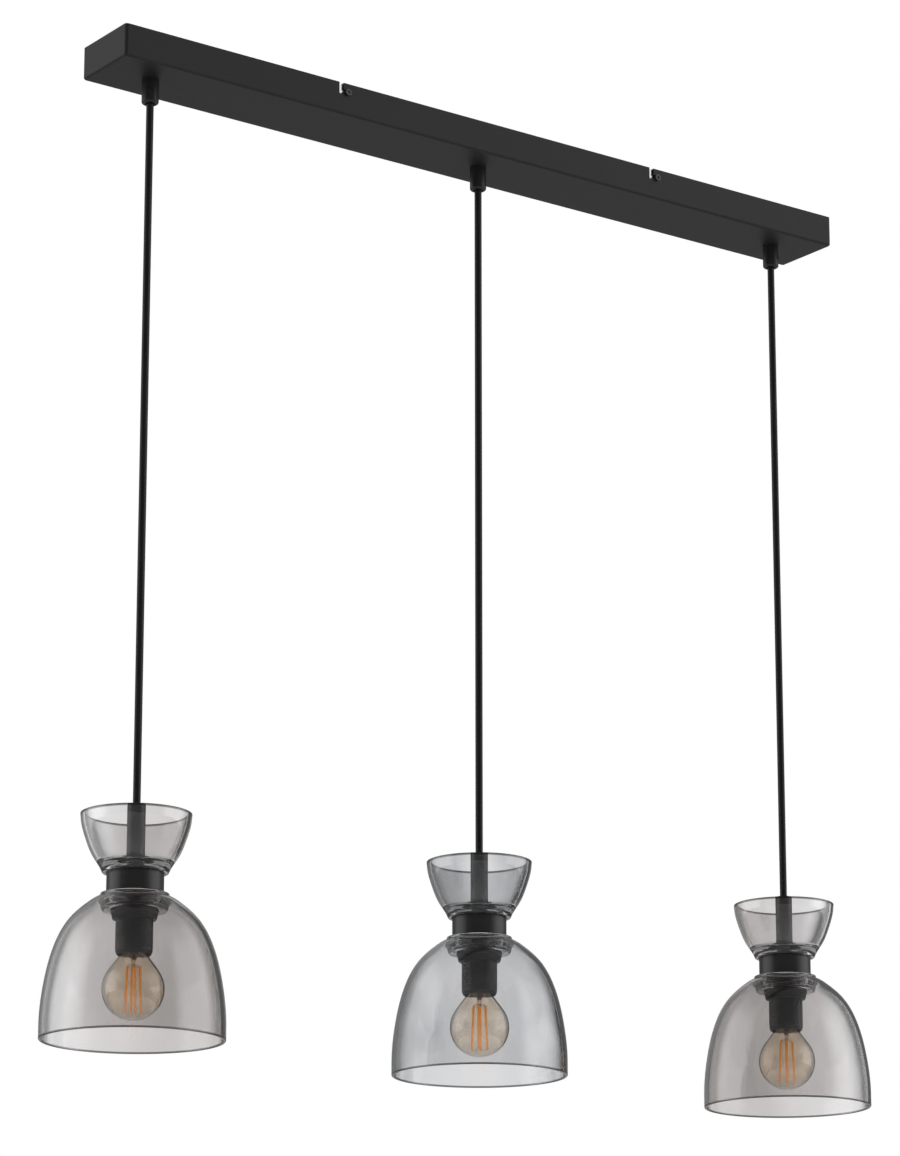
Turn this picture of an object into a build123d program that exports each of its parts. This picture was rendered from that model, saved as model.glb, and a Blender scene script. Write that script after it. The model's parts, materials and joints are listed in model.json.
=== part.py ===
from build123d import *
from math import cos, hypot, pi, radians, sin
import os

os.makedirs("parts", exist_ok=True)

# A linear island pendant: a ceiling canopy with three glass pendants on straight cables.
# Frame: +Z up, X along the canopy, the front is -Y, and the ceiling is the plane Z = 0.

# ---------------------------------------------------------------- driving dimensions, in mm

# Canopy, a folded sheet pan that is open towards the ceiling.
canopy_length = 680.0
canopy_width = 60.0
canopy_height = 25.0
canopy_sheet = 1.2
canopy_corner_radius = 2.4
canopy_bend_radius = 2.0

# Bayonet notches in both long sides, and the side screws that stand in them.
notch_spacing = 300.0
notch_width = 4.0
notch_depth = 9.0
notch_leg_height = 3.6
notch_travel = 5.5
notch_corner_radius = 0.8
side_screw_radius = 1.45
side_screw_head_radius = 2.6
side_screw_head_height = 1.6
side_screw_head_gap = 0.3
side_screw_slot_width = 0.7
side_screw_slot_depth = 0.8
side_screw_slot_share = 1.3
side_screw_tail = 2.0

# Ceiling bracket, a strap with two cross arms whose flanges hang down inside the canopy.
bracket_length = 380.0
bracket_strap_width = 28.0
bracket_sheet = 1.5
bracket_arm_width = 22.0
bracket_flange_height = 14.0
bracket_side_gap = 0.4
ceiling_screw_spacing = 180.0
ceiling_screw_slot_length = 14.0
ceiling_screw_slot_width = 5.0
mains_hole_radius = 8.0
mains_hole_x = 45.0
thread_gap = 0.05

# Pendants, their cables and the cord grips under the canopy.
pendant_end_margin = 40.0
drop = 736.0
cable_radius = 2.75
grip_radius = 6.35
grip_height = 18.8
grip_edge_radius = 2.6
grip_shank_radius = 5.0
grip_shank_length = 6.0
grip_bore_gap = 0.12
grip_mouth_radius = 4.1
grip_pivot_depth = 1.5
grip_flare_above_pivot = 1.2
grip_nut_flats = 14.0
grip_nut_height = 3.0
set_screw_radius = 2.0
set_screw_recess = 0.7
set_screw_rise = 8.6
set_screw_slot_width = 0.8
set_screw_slot_depth = 0.9
set_screw_angles = {"left": -120.0, "middle": 60.0, "right": -60.0}
cable_end_gap = 0.1

# Terminal block on the canopy's floor, with its wires.
block_x = -75.0
block_length = 22.0
block_base_height = 4.0
block_barrel_width = 6.4
block_barrel_height = 17.0
block_pole_pitch = 8.0
block_tab_length = 7.0
block_wire_hole_radius = 2.4
block_wire_height = 12.8
block_screw_radius = 1.6
block_screw_offset = 6.0
block_screw_height = 2.6
block_screw_slot_width = 0.6
stud_radius = 1.5
stud_nut_flats = 5.5
stud_nut_height = 2.2
stud_proud = 0.8
tail_bend_radius = 9.0
tail_strip_length = 16.0
core_radius = 0.9
core_bend_radius = 2.0
core_offset = 1.2
core_insert = 4.0
right_tail_y = 14.0
earth_stud_x = -108.0
earth_tag_radius = 3.4
earth_tag_sheet = 0.8

# Bell of smoke glass. Heights in a pendant are above its rim. The dome is given as radii and
# their drops below the top, and the well hangs from the top too.
bell_radius = 65.0
bell_wall = 2.5
bell_straight = 10.0
bell_dome = [(62.2, 63.3), (56.0, 38.3), (45.3, 18.3), (33.6, 7.4)]
bell_shoulder_radius = 25.4
bell_shoulder_drop = 2.4
bell_top_radius = 24.2
bell_top_height = 103.3
bell_notch = 0.8
bell_lip_radius = 0.7
bell_edge_share = 0.45
well_gap = 1.2
well_depth = 8.3
well_floor = 3.5
well_wall = 4.6
well_mouth_radius = 0.8
well_corner_radius = 0.3
well_foot_radius = 1.6
well_shoulder_reach = 2.0
well_shoulder_share = 1.25
bell_hole_gap = 0.6

# Collar between the bell and the cup. It stands on the bell's lip, over the well's mouth.
collar_radius = 20.2
collar_wall = 1.5
collar_height = 17.6
collar_edge_radius = 0.9
collar_lift = 0.1

# Cup of smoke glass, open upwards. Its side is given as radii and their rises above the collar.
cup_rim_radius = 39.3
cup_rim_rise = 39.4
cup_wall = 3.0
cup_side = [(38.7, 33.5), (35.4, 21.5), (31.2, 11.0)]
cup_foot_radius = 25.0
cup_foot_side_rise = 1.0
cup_foot_drop = 3.0
cup_foot_flat_radius = 23.2
cup_edge_share = 0.4
cup_corner_share = 0.3
cup_recess_gap = 0.4
cup_floor = 4.0
washer_radius = 9.0
washer_height = 0.8

# Stem tube, its bush and the hollow threaded nipple.
stem_radius = 6.5
stem_length = 40.4
stem_chamfer = 1.0
nipple_radius = 5.0
nipple_bore_radius = 4.0
nipple_engagement = 13.0
nipple_lift = 1.5
nipple_gap = 0.1
bush_length = 8.0
bush_recess = 0.3
bush_mouth_radius = 4.1
bush_pivot_depth = 1.3
bush_flare_below_pivot = 0.9

# E14 lampholder, its contacts and the shade ring.
holder_radius = 13.5
holder_drop = 35.0
holder_edge_radius = 1.6
holder_wall = 1.8
holder_flange_radius = 17.2
holder_flange_height = 2.4
holder_cap_radius = 16.4
holder_cap_rise = 16.0
holder_neck_radius = 8.0
holder_neck_height = 5.0
holder_chamber_radius = 11.0
holder_web = 3.0
holder_web_gap = 1.2
shell_radius = 7.05
shell_wall = 1.2
shell_recess = 10.5
shell_height = 18.5
shell_lug_width = 3.0
shell_lug_height = 8.0
contact_radius = 2.9
contact_head_radius = 4.5
contact_head_height = 1.0
contact_gap = 0.2
ring_radius = 17.0
ring_foot_radius = 15.4
ring_height = 6.4
ring_flange_height = 2.0
ring_flange_step = 0.3
ring_gap = 0.08

# G45 bulb with an E14 cap. Its parts rise from its own bottom.
bulb_radius = 22.0
bulb_length = 77.5
bulb_wall = 0.8
bulb_shoulder_angle = 30.0
bulb_neck_radius = 9.9
bulb_neck_rise = 46.0
bulb_throat_radius = 5.6
bulb_throat_depth = 1.5
bulb_cap_length = 27.0
bulb_cap_skirt_radius = 8.0
bulb_cap_skirt_foot = 1.0
bulb_thread_radius = 6.95
bulb_thread_depth = 0.65
bulb_thread_pitch = 2.82
bulb_thread_turns = 6
bulb_cap_wall = 0.5
bulb_tip_radius = 2.4
bulb_tip_edge = 0.6
bulb_tip_share = 0.8
bulb_tip_above_shell = 2.5
bulb_insulator_height = 3.5
filament_count = 4
filament_radius = 0.8
filament_top_rise = 37.0
filament_bottom_rise = 6.0
filament_top_radius = 4.4
filament_bottom_radius = 5.8
filament_wire_radius = 0.35
bulb_stem_radius = 1.7
bulb_stem_lift = 1.0
bulb_stem_foot = 1.0

# ---------------------------------------------------------------- values that follow from them

canopy_floor = -canopy_height + canopy_sheet
canopy_inner_half_width = canopy_width / 2 - canopy_sheet
grip_bottom = -canopy_height - grip_height
grip_pivot = grip_bottom + grip_pivot_depth
grip_bore_radius = cable_radius + grip_bore_gap
pendant_spacing = canopy_length / 2 - pendant_end_margin
rim_z = -drop
bell_shoulder_height = bell_top_height - bell_shoulder_drop
well_floor_height = bell_top_height - well_depth
well_foot = well_floor_height - well_floor
well_radius = holder_flange_radius + well_gap
bell_hole_radius = holder_radius + bell_hole_gap
collar_bottom = bell_top_height + collar_lift
collar_top = collar_bottom + collar_height
collar_disc_bottom = collar_top - collar_wall
cup_rim_height = collar_top + cup_rim_rise
cup_foot_height = collar_top - cup_foot_drop
cup_foot_side_height = collar_top + cup_foot_side_rise
cup_floor_bottom = collar_top + washer_height
cup_floor_top = cup_floor_bottom + cup_floor
stem_bottom = cup_floor_top + washer_height
stem_top = stem_bottom + stem_length
stem_bore_radius = nipple_radius + nipple_gap
bush_top = stem_top - bush_recess
stem_pivot = bush_top - bush_pivot_depth
bush_bore_radius = cable_radius + grip_bore_gap
holder_bottom = well_floor_height - holder_drop
holder_cap_top = well_floor_height + holder_cap_rise
holder_flange_bottom = well_floor_height + collar_lift
nipple_bottom = holder_cap_top + nipple_lift
nipple_top = stem_bottom + nipple_engagement
shell_bottom = holder_bottom + shell_recess
shell_top = shell_bottom + shell_height
shell_lug_top = shell_top + shell_lug_height
bulb_tip_height = shell_top + bulb_tip_above_shell
bulb_bottom = bulb_tip_height - bulb_length
bulb_neck_height = bulb_bottom + bulb_neck_rise
bulb_cap_bottom = bulb_tip_height - bulb_cap_length
bulb_throat_top = bulb_cap_bottom + bulb_throat_depth
filament_top = bulb_bottom + filament_top_rise
filament_bottom = bulb_bottom + filament_bottom_rise
holder_web_bottom = shell_top + holder_web_gap
holder_web_top = holder_web_bottom + holder_web
shell_outer_radius = shell_radius + shell_wall
wire_z = canopy_floor + block_wire_height
earth_stud_y = -block_pole_pitch
tail_end_low = grip_pivot + cable_radius + cable_end_gap
screw_z = -notch_depth + notch_leg_height / 2

pendants = {"left": -pendant_spacing, "middle": 0.0, "right": pendant_spacing}
notch_places = [-notch_spacing / 2, notch_spacing / 2]


def save(piece, name):
    """Label a finished piece and write it as its own file."""
    piece.part.label = name
    export_step(piece.part, f"parts/{name}.step")


def section_plane(x, z):
    """The upright plane through a pendant's axis: across is the radius, up is the height."""
    return Plane(origin=(x, 0, z), x_dir=(1, 0, 0), z_dir=(0, -1, 0))


def upright_axis(x):
    """A pendant's own axis."""
    return Axis((x, 0, 0), (0, 0, 1))


def inner_points(outer, wall, shares):
    """Points at a wall's thickness inside an outline that runs upwards with its solid to the left."""
    points = []
    for share in shares:
        place = outer.position_at(share)
        along = outer.tangent_at(share)
        points.append((place.X - along.Y * wall, place.Y + along.X * wall))
    return points


# ---------------------------------------------------------------- ceiling bracket and canopy

with BuildPart() as ceiling_bracket:
    with BuildSketch(Plane.XY.offset(-bracket_sheet)):
        Rectangle(bracket_length, bracket_strap_width)
        with Locations(*[(x + notch_travel, 0) for x in notch_places]):
            Rectangle(bracket_arm_width, 2 * (canopy_inner_half_width - bracket_side_gap))
        with GridLocations(ceiling_screw_spacing, 0, 2, 1):
            SlotOverall(ceiling_screw_slot_length, ceiling_screw_slot_width, mode=Mode.SUBTRACT)
        with Locations((mains_hole_x, 0)):
            Circle(mains_hole_radius, mode=Mode.SUBTRACT)
    extrude(amount=bracket_sheet)
    for x in notch_places:
        for side in (-1, 1):
            flange_y = side * (canopy_inner_half_width - bracket_side_gap - bracket_sheet / 2)
            with Locations((x + notch_travel, flange_y, -bracket_flange_height / 2)):
                Box(bracket_arm_width, bracket_sheet, bracket_flange_height)
            with Locations(Location((x + notch_travel, flange_y, screw_z), (90, 0, 0))):
                Cylinder(side_screw_radius + thread_gap, 3 * bracket_sheet, mode=Mode.SUBTRACT)
save(ceiling_bracket, "ceiling_bracket")

with BuildPart() as side_screws:
    for x in notch_places:
        for side in (-1, 1):
            inside = canopy_inner_half_width - bracket_side_gap - bracket_sheet - side_screw_tail
            head_seat = canopy_width / 2 + side_screw_head_gap
            face = Plane(origin=(x + notch_travel, side * inside, screw_z), z_dir=(0, side, 0))
            with BuildSketch(face):
                Circle(side_screw_radius)
            extrude(amount=head_seat - inside)
            with BuildSketch(face.offset(head_seat - inside)):
                Circle(side_screw_head_radius)
            extrude(amount=side_screw_head_height)
            with BuildSketch(face.offset(head_seat - inside + side_screw_head_height)):
                Rectangle(side_screw_slot_share * side_screw_head_radius, side_screw_slot_width)
                Rectangle(side_screw_slot_width, side_screw_slot_share * side_screw_head_radius)
            extrude(amount=-side_screw_slot_depth, mode=Mode.SUBTRACT)
save(side_screws, "side_screws")

with BuildPart() as canopy_shell:
    with BuildSketch(Plane.XY.offset(-canopy_height)):
        RectangleRounded(canopy_length, canopy_width, canopy_corner_radius)
    extrude(amount=canopy_height)
    fillet(canopy_shell.faces().sort_by(Axis.Z)[0].edges(), canopy_bend_radius)
    with BuildSketch(Plane.XY.offset(canopy_floor)):
        RectangleRounded(
            canopy_length - 2 * canopy_sheet,
            canopy_width - 2 * canopy_sheet,
            canopy_corner_radius - canopy_sheet,
        )
    extrude(amount=canopy_height, mode=Mode.SUBTRACT)
    # Each bayonet notch: an upright slot from the edge, and a short leg towards +X at its foot.
    with BuildSketch(Plane.XZ.offset(-canopy_width)) as notches:
        for x in notch_places:
            with Locations((x, -notch_depth / 2)):
                Rectangle(notch_width, notch_depth)
            leg_length = notch_travel + notch_width
            with Locations((x + notch_travel / 2, screw_z)):
                Rectangle(leg_length, notch_leg_height)
        fillet(notches.vertices().filter_by(lambda v: v.Y < -notch_corner_radius), notch_corner_radius)
    extrude(amount=2 * canopy_width, mode=Mode.SUBTRACT)
    # Holes for the grips' shanks.
    with Locations(*[(x, 0, canopy_floor) for x in pendants.values()]):
        Hole(grip_shank_radius + thread_gap)
    # Welded studs for the terminal block and for the earth lead.
    block_stud_y = 1.5 * block_pole_pitch + block_tab_length / 2
    block_stud_top = canopy_floor + block_base_height + stud_nut_height + stud_proud
    with BuildSketch(Plane.XY.offset(canopy_floor - canopy_sheet / 2)):
        with Locations((block_x, -block_stud_y), (block_x, block_stud_y)):
            Circle(stud_radius)
    extrude(amount=block_stud_top - canopy_floor + canopy_sheet / 2)
    earth_stud_top = canopy_floor + earth_tag_sheet + stud_nut_height + stud_proud
    with BuildSketch(Plane.XY.offset(canopy_floor - canopy_sheet / 2)):
        with Locations((earth_stud_x, earth_stud_y)):
            Circle(stud_radius)
    extrude(amount=earth_stud_top - canopy_floor + canopy_sheet / 2)
save(canopy_shell, "canopy_shell")

# ---------------------------------------------------------------- wiring inside the canopy

with BuildPart() as terminal_block:
    with BuildSketch(Plane.XY.offset(canopy_floor)):
        with Locations((block_x, 0)):
            Rectangle(block_length, 3 * block_pole_pitch + 2 * block_tab_length)
        with Locations((block_x, -block_stud_y), (block_x, block_stud_y)):
            Circle(stud_radius + thread_gap, mode=Mode.SUBTRACT)
    extrude(amount=block_base_height)
    with BuildSketch(Plane.XY.offset(canopy_floor)):
        with Locations((block_x, 0)):
            with GridLocations(0, block_pole_pitch, 1, 3):
                RectangleRounded(block_length, block_barrel_width, 1.0)
    extrude(amount=block_barrel_height)
    with BuildSketch(Plane.YZ.offset(block_x - block_length)):
        with GridLocations(block_pole_pitch, 0, 3, 1):
            with Locations((0, wire_z)):
                Circle(block_wire_hole_radius)
    extrude(amount=2 * block_length, mode=Mode.SUBTRACT)
    with BuildSketch(Plane.XY.offset(wire_z)):
        with Locations((block_x, 0)):
            with GridLocations(2 * block_screw_offset, block_pole_pitch, 2, 3):
                Circle(block_screw_radius + thread_gap)
    extrude(amount=block_barrel_height, mode=Mode.SUBTRACT)
save(terminal_block, "terminal_block")

with BuildPart() as terminal_screws:
    screw_tip = wire_z + core_offset + core_radius + thread_gap
    with BuildSketch(Plane.XY.offset(screw_tip)):
        with Locations((block_x, 0)):
            with GridLocations(2 * block_screw_offset, block_pole_pitch, 2, 3):
                Circle(block_screw_radius)
    extrude(amount=block_screw_height)
    with BuildSketch(Plane.XY.offset(screw_tip + block_screw_height)):
        with Locations((block_x, 0)):
            with GridLocations(2 * block_screw_offset, block_pole_pitch, 2, 3):
                Rectangle(3 * block_screw_radius, block_screw_slot_width)
    extrude(amount=-block_screw_slot_width, mode=Mode.SUBTRACT)
save(terminal_screws, "terminal_screws")

with BuildPart() as stud_nuts:
    for x, y, seat in (
        (block_x, -block_stud_y, block_base_height),
        (block_x, block_stud_y, block_base_height),
        (earth_stud_x, earth_stud_y, earth_tag_sheet),
    ):
        with BuildSketch(Plane.XY.offset(canopy_floor + seat)):
            with Locations((x, y)):
                RegularPolygon(stud_nut_flats / 2, 6, major_radius=False)
                Circle(stud_radius + thread_gap, mode=Mode.SUBTRACT)
        extrude(amount=stud_nut_height)
save(stud_nuts, "stud_nuts")


def tail_path(x, lane_end, low):
    """A cable's route from a grip: straight up, one bend, and along the floor to its stripped end."""
    reach = hypot(lane_end[0] - x, lane_end[1])
    ahead = ((lane_end[0] - x) / reach, lane_end[1] / reach, 0)
    upright = Plane(origin=(x, 0, 0), x_dir=ahead, z_dir=(ahead[1], -ahead[0], 0))
    with BuildLine(upright) as route:
        FilletPolyline((0, low), (0, wire_z), (reach, wire_z), radius=tail_bend_radius)
    return route


def core_route(start, end, height):
    """A stripped core's route, level, from the sheath's end into a pole of the block."""
    toward = 1 if end[0] > start[0] else -1
    with BuildLine(Plane.XY.offset(height)) as route:
        FilletPolyline(
            (start[0] - toward * core_radius, start[1]),
            (start[0] + toward * core_insert, start[1]),
            (end[0] - toward * core_insert, end[1]),
            (end[0] + toward * core_insert, end[1]),
            radius=core_bend_radius,
        )
    return route


block_left = block_x - block_length / 2
block_right = block_x + block_length / 2
tail_ends = {
    "left": (block_left - tail_strip_length, 0.0, block_left, core_offset),
    "middle": (block_right + tail_strip_length, 0.0, block_right, -core_offset),
    "right": (block_right + tail_strip_length, right_tail_y, block_right, core_offset),
}

for side, x in pendants.items():
    end_x, end_y, mouth_x, level = tail_ends[side]
    with BuildPart() as cable_tail:
        sheath = tail_path(x, (end_x, end_y), tail_end_low)
        with BuildSketch(Plane(origin=(x, 0, tail_end_low), z_dir=(0, 0, 1))):
            Circle(cable_radius)
        sweep(path=sheath.wires()[0])
        for pole_y, spread in ((block_pole_pitch, core_offset), (0.0, -core_offset)):
            core = core_route((end_x, end_y + spread), (mouth_x, pole_y), wire_z + level)
            with BuildSketch(Plane(core.wires()[0] ^ 0)):
                Circle(core_radius)
            sweep(path=core.wires()[0])
    save(cable_tail, f"{side}_cable_tail")

with BuildPart() as earth_lead:
    with BuildSketch(Plane.XY.offset(canopy_floor)):
        with Locations((earth_stud_x, earth_stud_y)):
            Circle(earth_tag_radius)
            with Locations((earth_tag_radius + core_radius, 0)):
                Rectangle(2 * earth_tag_radius, 2.4 * core_radius)
            Circle(stud_radius + thread_gap, mode=Mode.SUBTRACT)
    extrude(amount=earth_tag_sheet)
    tag_end_x = earth_stud_x + 2 * earth_tag_radius
    lead_low = canopy_floor + earth_tag_sheet + 0.8 * core_radius
    with BuildLine(Plane.XZ.offset(-earth_stud_y)) as lead_route:
        FilletPolyline(
            (tag_end_x - core_radius, lead_low),
            (tag_end_x + core_insert, lead_low),
            (block_left - core_insert, wire_z),
            (block_left + core_insert, wire_z),
            radius=core_bend_radius,
        )
    with BuildSketch(Plane(lead_route.wires()[0] ^ 0)):
        Circle(core_radius)
    sweep(path=lead_route.wires()[0])
save(earth_lead, "earth_lead")

# ---------------------------------------------------------------- cord grips

with BuildPart() as grip_nuts:
    with BuildSketch(Plane.XY.offset(canopy_floor)):
        with Locations(*[(x, 0) for x in pendants.values()]):
            RegularPolygon(grip_nut_flats / 2, 6, major_radius=False)
            Circle(grip_shank_radius + thread_gap, mode=Mode.SUBTRACT)
    extrude(amount=grip_nut_height)
save(grip_nuts, "grip_nuts")

set_screw_z = grip_bottom + set_screw_rise
for side, x in pendants.items():
    angle = radians(set_screw_angles[side])
    outward = (cos(angle), sin(angle), 0)
    with BuildPart() as cord_grip:
        with BuildSketch(section_plane(x, grip_bottom)):
            with BuildLine():
                shank_top = grip_height + grip_shank_length
                flare_top = grip_pivot_depth + grip_flare_above_pivot
                Polyline(
                    (grip_mouth_radius, 0),
                    (grip_radius, 0),
                    (grip_radius, grip_height),
                    (grip_shank_radius, grip_height),
                    (grip_shank_radius, shank_top),
                    (grip_bore_radius, shank_top),
                    (grip_bore_radius, flare_top),
                    close=True,
                )
            make_face()
        revolve(axis=upright_axis(x))
        lower_edge = cord_grip.edges().filter_by(GeomType.CIRCLE)
        lower_edge = lower_edge.filter_by(lambda e: abs(e.radius - grip_radius) < 0.01)
        fillet(lower_edge.sort_by(Axis.Z)[0], min(grip_edge_radius, 0.8 * (grip_radius - grip_mouth_radius)))
        with BuildSketch(Plane(origin=(x, 0, set_screw_z), z_dir=outward)):
            Circle(set_screw_radius + thread_gap)
        extrude(amount=2 * grip_radius, mode=Mode.SUBTRACT)
    save(cord_grip, f"{side}_cord_grip")

with BuildPart() as grip_set_screws:
    for side, x in pendants.items():
        angle = radians(set_screw_angles[side])
        face = Plane(origin=(x, 0, set_screw_z), z_dir=(cos(angle), sin(angle), 0))
        with BuildSketch(face.offset(cable_radius)):
            Circle(set_screw_radius)
        extrude(amount=grip_radius - set_screw_recess - cable_radius)
        with BuildSketch(face.offset(grip_radius - set_screw_recess)):
            Rectangle(3 * set_screw_radius, set_screw_slot_width)
        extrude(amount=-set_screw_slot_depth, mode=Mode.SUBTRACT)
save(grip_set_screws, "grip_set_screws")

# ---------------------------------------------------------------- the three pendants

for side, x in pendants.items():
    station = section_plane(x, rim_z)
    axis = upright_axis(x)

    # The free cable hangs straight between the grip's mouth and the stem's bush, with round ends.
    with BuildPart() as cable:
        with BuildSketch(section_plane(x, 0)):
            with BuildLine():
                low = rim_z + stem_pivot
                Line((0, low - cable_radius), (0, grip_pivot + cable_radius))
                ThreePointArc(
                    (0, grip_pivot + cable_radius),
                    (cable_radius * cos(pi / 4), grip_pivot + cable_radius * sin(pi / 4)),
                    (cable_radius, grip_pivot),
                )
                Line((cable_radius, grip_pivot), (cable_radius, low))
                ThreePointArc(
                    (cable_radius, low),
                    (cable_radius * cos(pi / 4), low - cable_radius * sin(pi / 4)),
                    (0, low - cable_radius),
                )
            make_face()
        revolve(axis=axis)
    save(cable, f"{side}_cable")

    with BuildPart() as stem_tube:
        with BuildSketch(station):
            with BuildLine():
                Polyline(
                    (stem_bore_radius, stem_bottom),
                    (stem_radius, stem_bottom),
                    (stem_radius, stem_top - stem_chamfer),
                    (stem_radius - stem_chamfer, stem_top),
                    (stem_bore_radius, stem_top),
                    close=True,
                )
            make_face()
        revolve(axis=axis)
    save(stem_tube, f"{side}_stem_tube")

    with BuildPart() as stem_bush:
        with BuildSketch(station):
            with BuildLine():
                Polyline(
                    (bush_bore_radius, bush_top - bush_length),
                    (nipple_radius, bush_top - bush_length),
                    (nipple_radius, bush_top),
                    (bush_mouth_radius, bush_top),
                    (bush_bore_radius, stem_pivot - bush_flare_below_pivot),
                    close=True,
                )
            make_face()
        revolve(axis=axis)
    save(stem_bush, f"{side}_stem_bush")

    with BuildPart() as nipple:
        with BuildSketch(station):
            with BuildLine():
                Polyline(
                    (nipple_bore_radius, nipple_bottom),
                    (nipple_radius, nipple_bottom),
                    (nipple_radius, nipple_top),
                    (nipple_bore_radius, nipple_top),
                    close=True,
                )
            make_face()
        revolve(axis=axis)
    save(nipple, f"{side}_nipple")

    with BuildPart() as cup_washers:
        for seat in (collar_top, cup_floor_top):
            with BuildSketch(Plane(origin=(x, 0, rim_z + seat), z_dir=(0, 0, 1))):
                Circle(washer_radius)
                Circle(nipple_radius + nipple_gap, mode=Mode.SUBTRACT)
            extrude(amount=washer_height)
    save(cup_washers, f"{side}_cup_washers")

    with BuildPart() as cup_glass:
        recess_radius = collar_radius + cup_recess_gap
        outer_points = [(cup_foot_radius, cup_foot_side_height)]
        outer_points += [(radius, collar_top + rise) for radius, rise in cup_side[::-1]]
        outer_points.append((cup_rim_radius, cup_rim_height))
        cup_outer = Edge.make_spline([Vector(*p) for p in outer_points])
        cup_inner = inner_points(cup_outer, cup_wall, (0.2, 0.45, 0.72, 1.0))
        cup_inner[-1] = (cup_rim_radius - cup_wall, cup_rim_height)
        floor_corner = (cup_foot_radius - 0.8 * cup_wall, cup_floor_top)
        with BuildSketch(station) as cup_section:
            with BuildLine():
                Spline(*outer_points)
                Line((cup_rim_radius, cup_rim_height), cup_inner[-1])
                Spline(*([floor_corner] + cup_inner)[::-1])
                Polyline(
                    floor_corner,
                    (nipple_radius + nipple_gap, cup_floor_top),
                    (nipple_radius + nipple_gap, cup_floor_bottom),
                    (recess_radius, cup_floor_bottom),
                    (recess_radius, cup_foot_height),
                    (cup_foot_flat_radius, cup_foot_height),
                    (cup_foot_radius, cup_foot_side_height),
                )
            make_face()
            foot_land = cup_foot_flat_radius - recess_radius
            for at, radius in (
                ((cup_rim_radius, cup_rim_height), cup_edge_share * cup_wall),
                ((cup_rim_radius - cup_wall, cup_rim_height), cup_edge_share * cup_wall),
                ((cup_foot_flat_radius, cup_foot_height), cup_edge_share * foot_land),
                (floor_corner, cup_corner_share * cup_wall),
            ):
                fillet(cup_section.vertices().sort_by_distance(Vector(*at))[0], radius)
        revolve(axis=axis)
    save(cup_glass, f"{side}_cup_glass")

    with BuildPart() as collar:
        with BuildSketch(station):
            with BuildLine():
                Polyline(
                    (collar_radius - collar_wall, collar_bottom),
                    (collar_radius, collar_bottom),
                    (collar_radius, collar_top),
                    (nipple_radius + nipple_gap, collar_top),
                    (nipple_radius + nipple_gap, collar_disc_bottom),
                    (collar_radius - collar_wall, collar_disc_bottom),
                    close=True,
                )
            make_face()
        revolve(axis=axis)
        rims = collar.edges().filter_by(GeomType.CIRCLE)
        rims = rims.filter_by(lambda e: abs(e.radius - collar_radius) < 0.01)
        fillet(rims.sort_by(Axis.Z)[-1], collar_edge_radius)
    save(collar, f"{side}_collar")

    with BuildPart() as bell_glass:
        dome_points = [(bell_radius, bell_straight)]
        dome_points += [(radius, bell_top_height - drop_below) for radius, drop_below in bell_dome]
        dome_points.append((bell_shoulder_radius, bell_shoulder_height))
        upward = (0, 1)
        dome = Edge.make_spline([Vector(*p) for p in dome_points], tangents=[Vector(0, 1), Vector(-1, 0.35)])
        well_outer = well_radius + well_wall
        inner_dome = inner_points(dome, bell_wall, (0.2, 0.42, 0.64, 0.82))
        inner_top = (
            well_outer + well_shoulder_reach,
            bell_shoulder_height - well_shoulder_share * bell_wall,
        )
        with BuildSketch(station) as bell_section:
            with BuildLine():
                Line((bell_radius, 0), (bell_radius, bell_straight))
                Spline(*dome_points, tangents=(upward, (-1, 0.35)))
                Polyline(
                    (bell_shoulder_radius, bell_shoulder_height),
                    (bell_top_radius - bell_notch, bell_shoulder_height + bell_notch),
                    (bell_top_radius, bell_shoulder_height + 2 * bell_notch),
                    (bell_top_radius, bell_top_height),
                    (well_radius, bell_top_height),
                    (well_radius, well_floor_height),
                    (bell_hole_radius, well_floor_height),
                    (bell_hole_radius, well_foot),
                    (well_outer, well_foot),
                    inner_top,
                )
                Spline(*([(bell_radius - bell_wall, bell_straight)] + inner_dome + [inner_top])[::-1])
                Line((bell_radius - bell_wall, bell_straight), (bell_radius - bell_wall, 0))
                Line((bell_radius - bell_wall, 0), (bell_radius, 0))
            make_face()
            for at, radius in (
                ((bell_radius, 0), bell_edge_share * bell_wall),
                ((bell_radius - bell_wall, 0), bell_edge_share * bell_wall),
                ((bell_top_radius, bell_top_height), bell_lip_radius),
                ((well_radius, bell_top_height), well_mouth_radius),
                ((well_radius, well_floor_height), well_corner_radius),
                ((well_outer, well_foot), well_foot_radius),
                (inner_top, well_mouth_radius),
            ):
                fillet(bell_section.vertices().sort_by_distance(Vector(*at))[0], radius)
        revolve(axis=axis)
    save(bell_glass, f"{side}_bell_glass")

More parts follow.
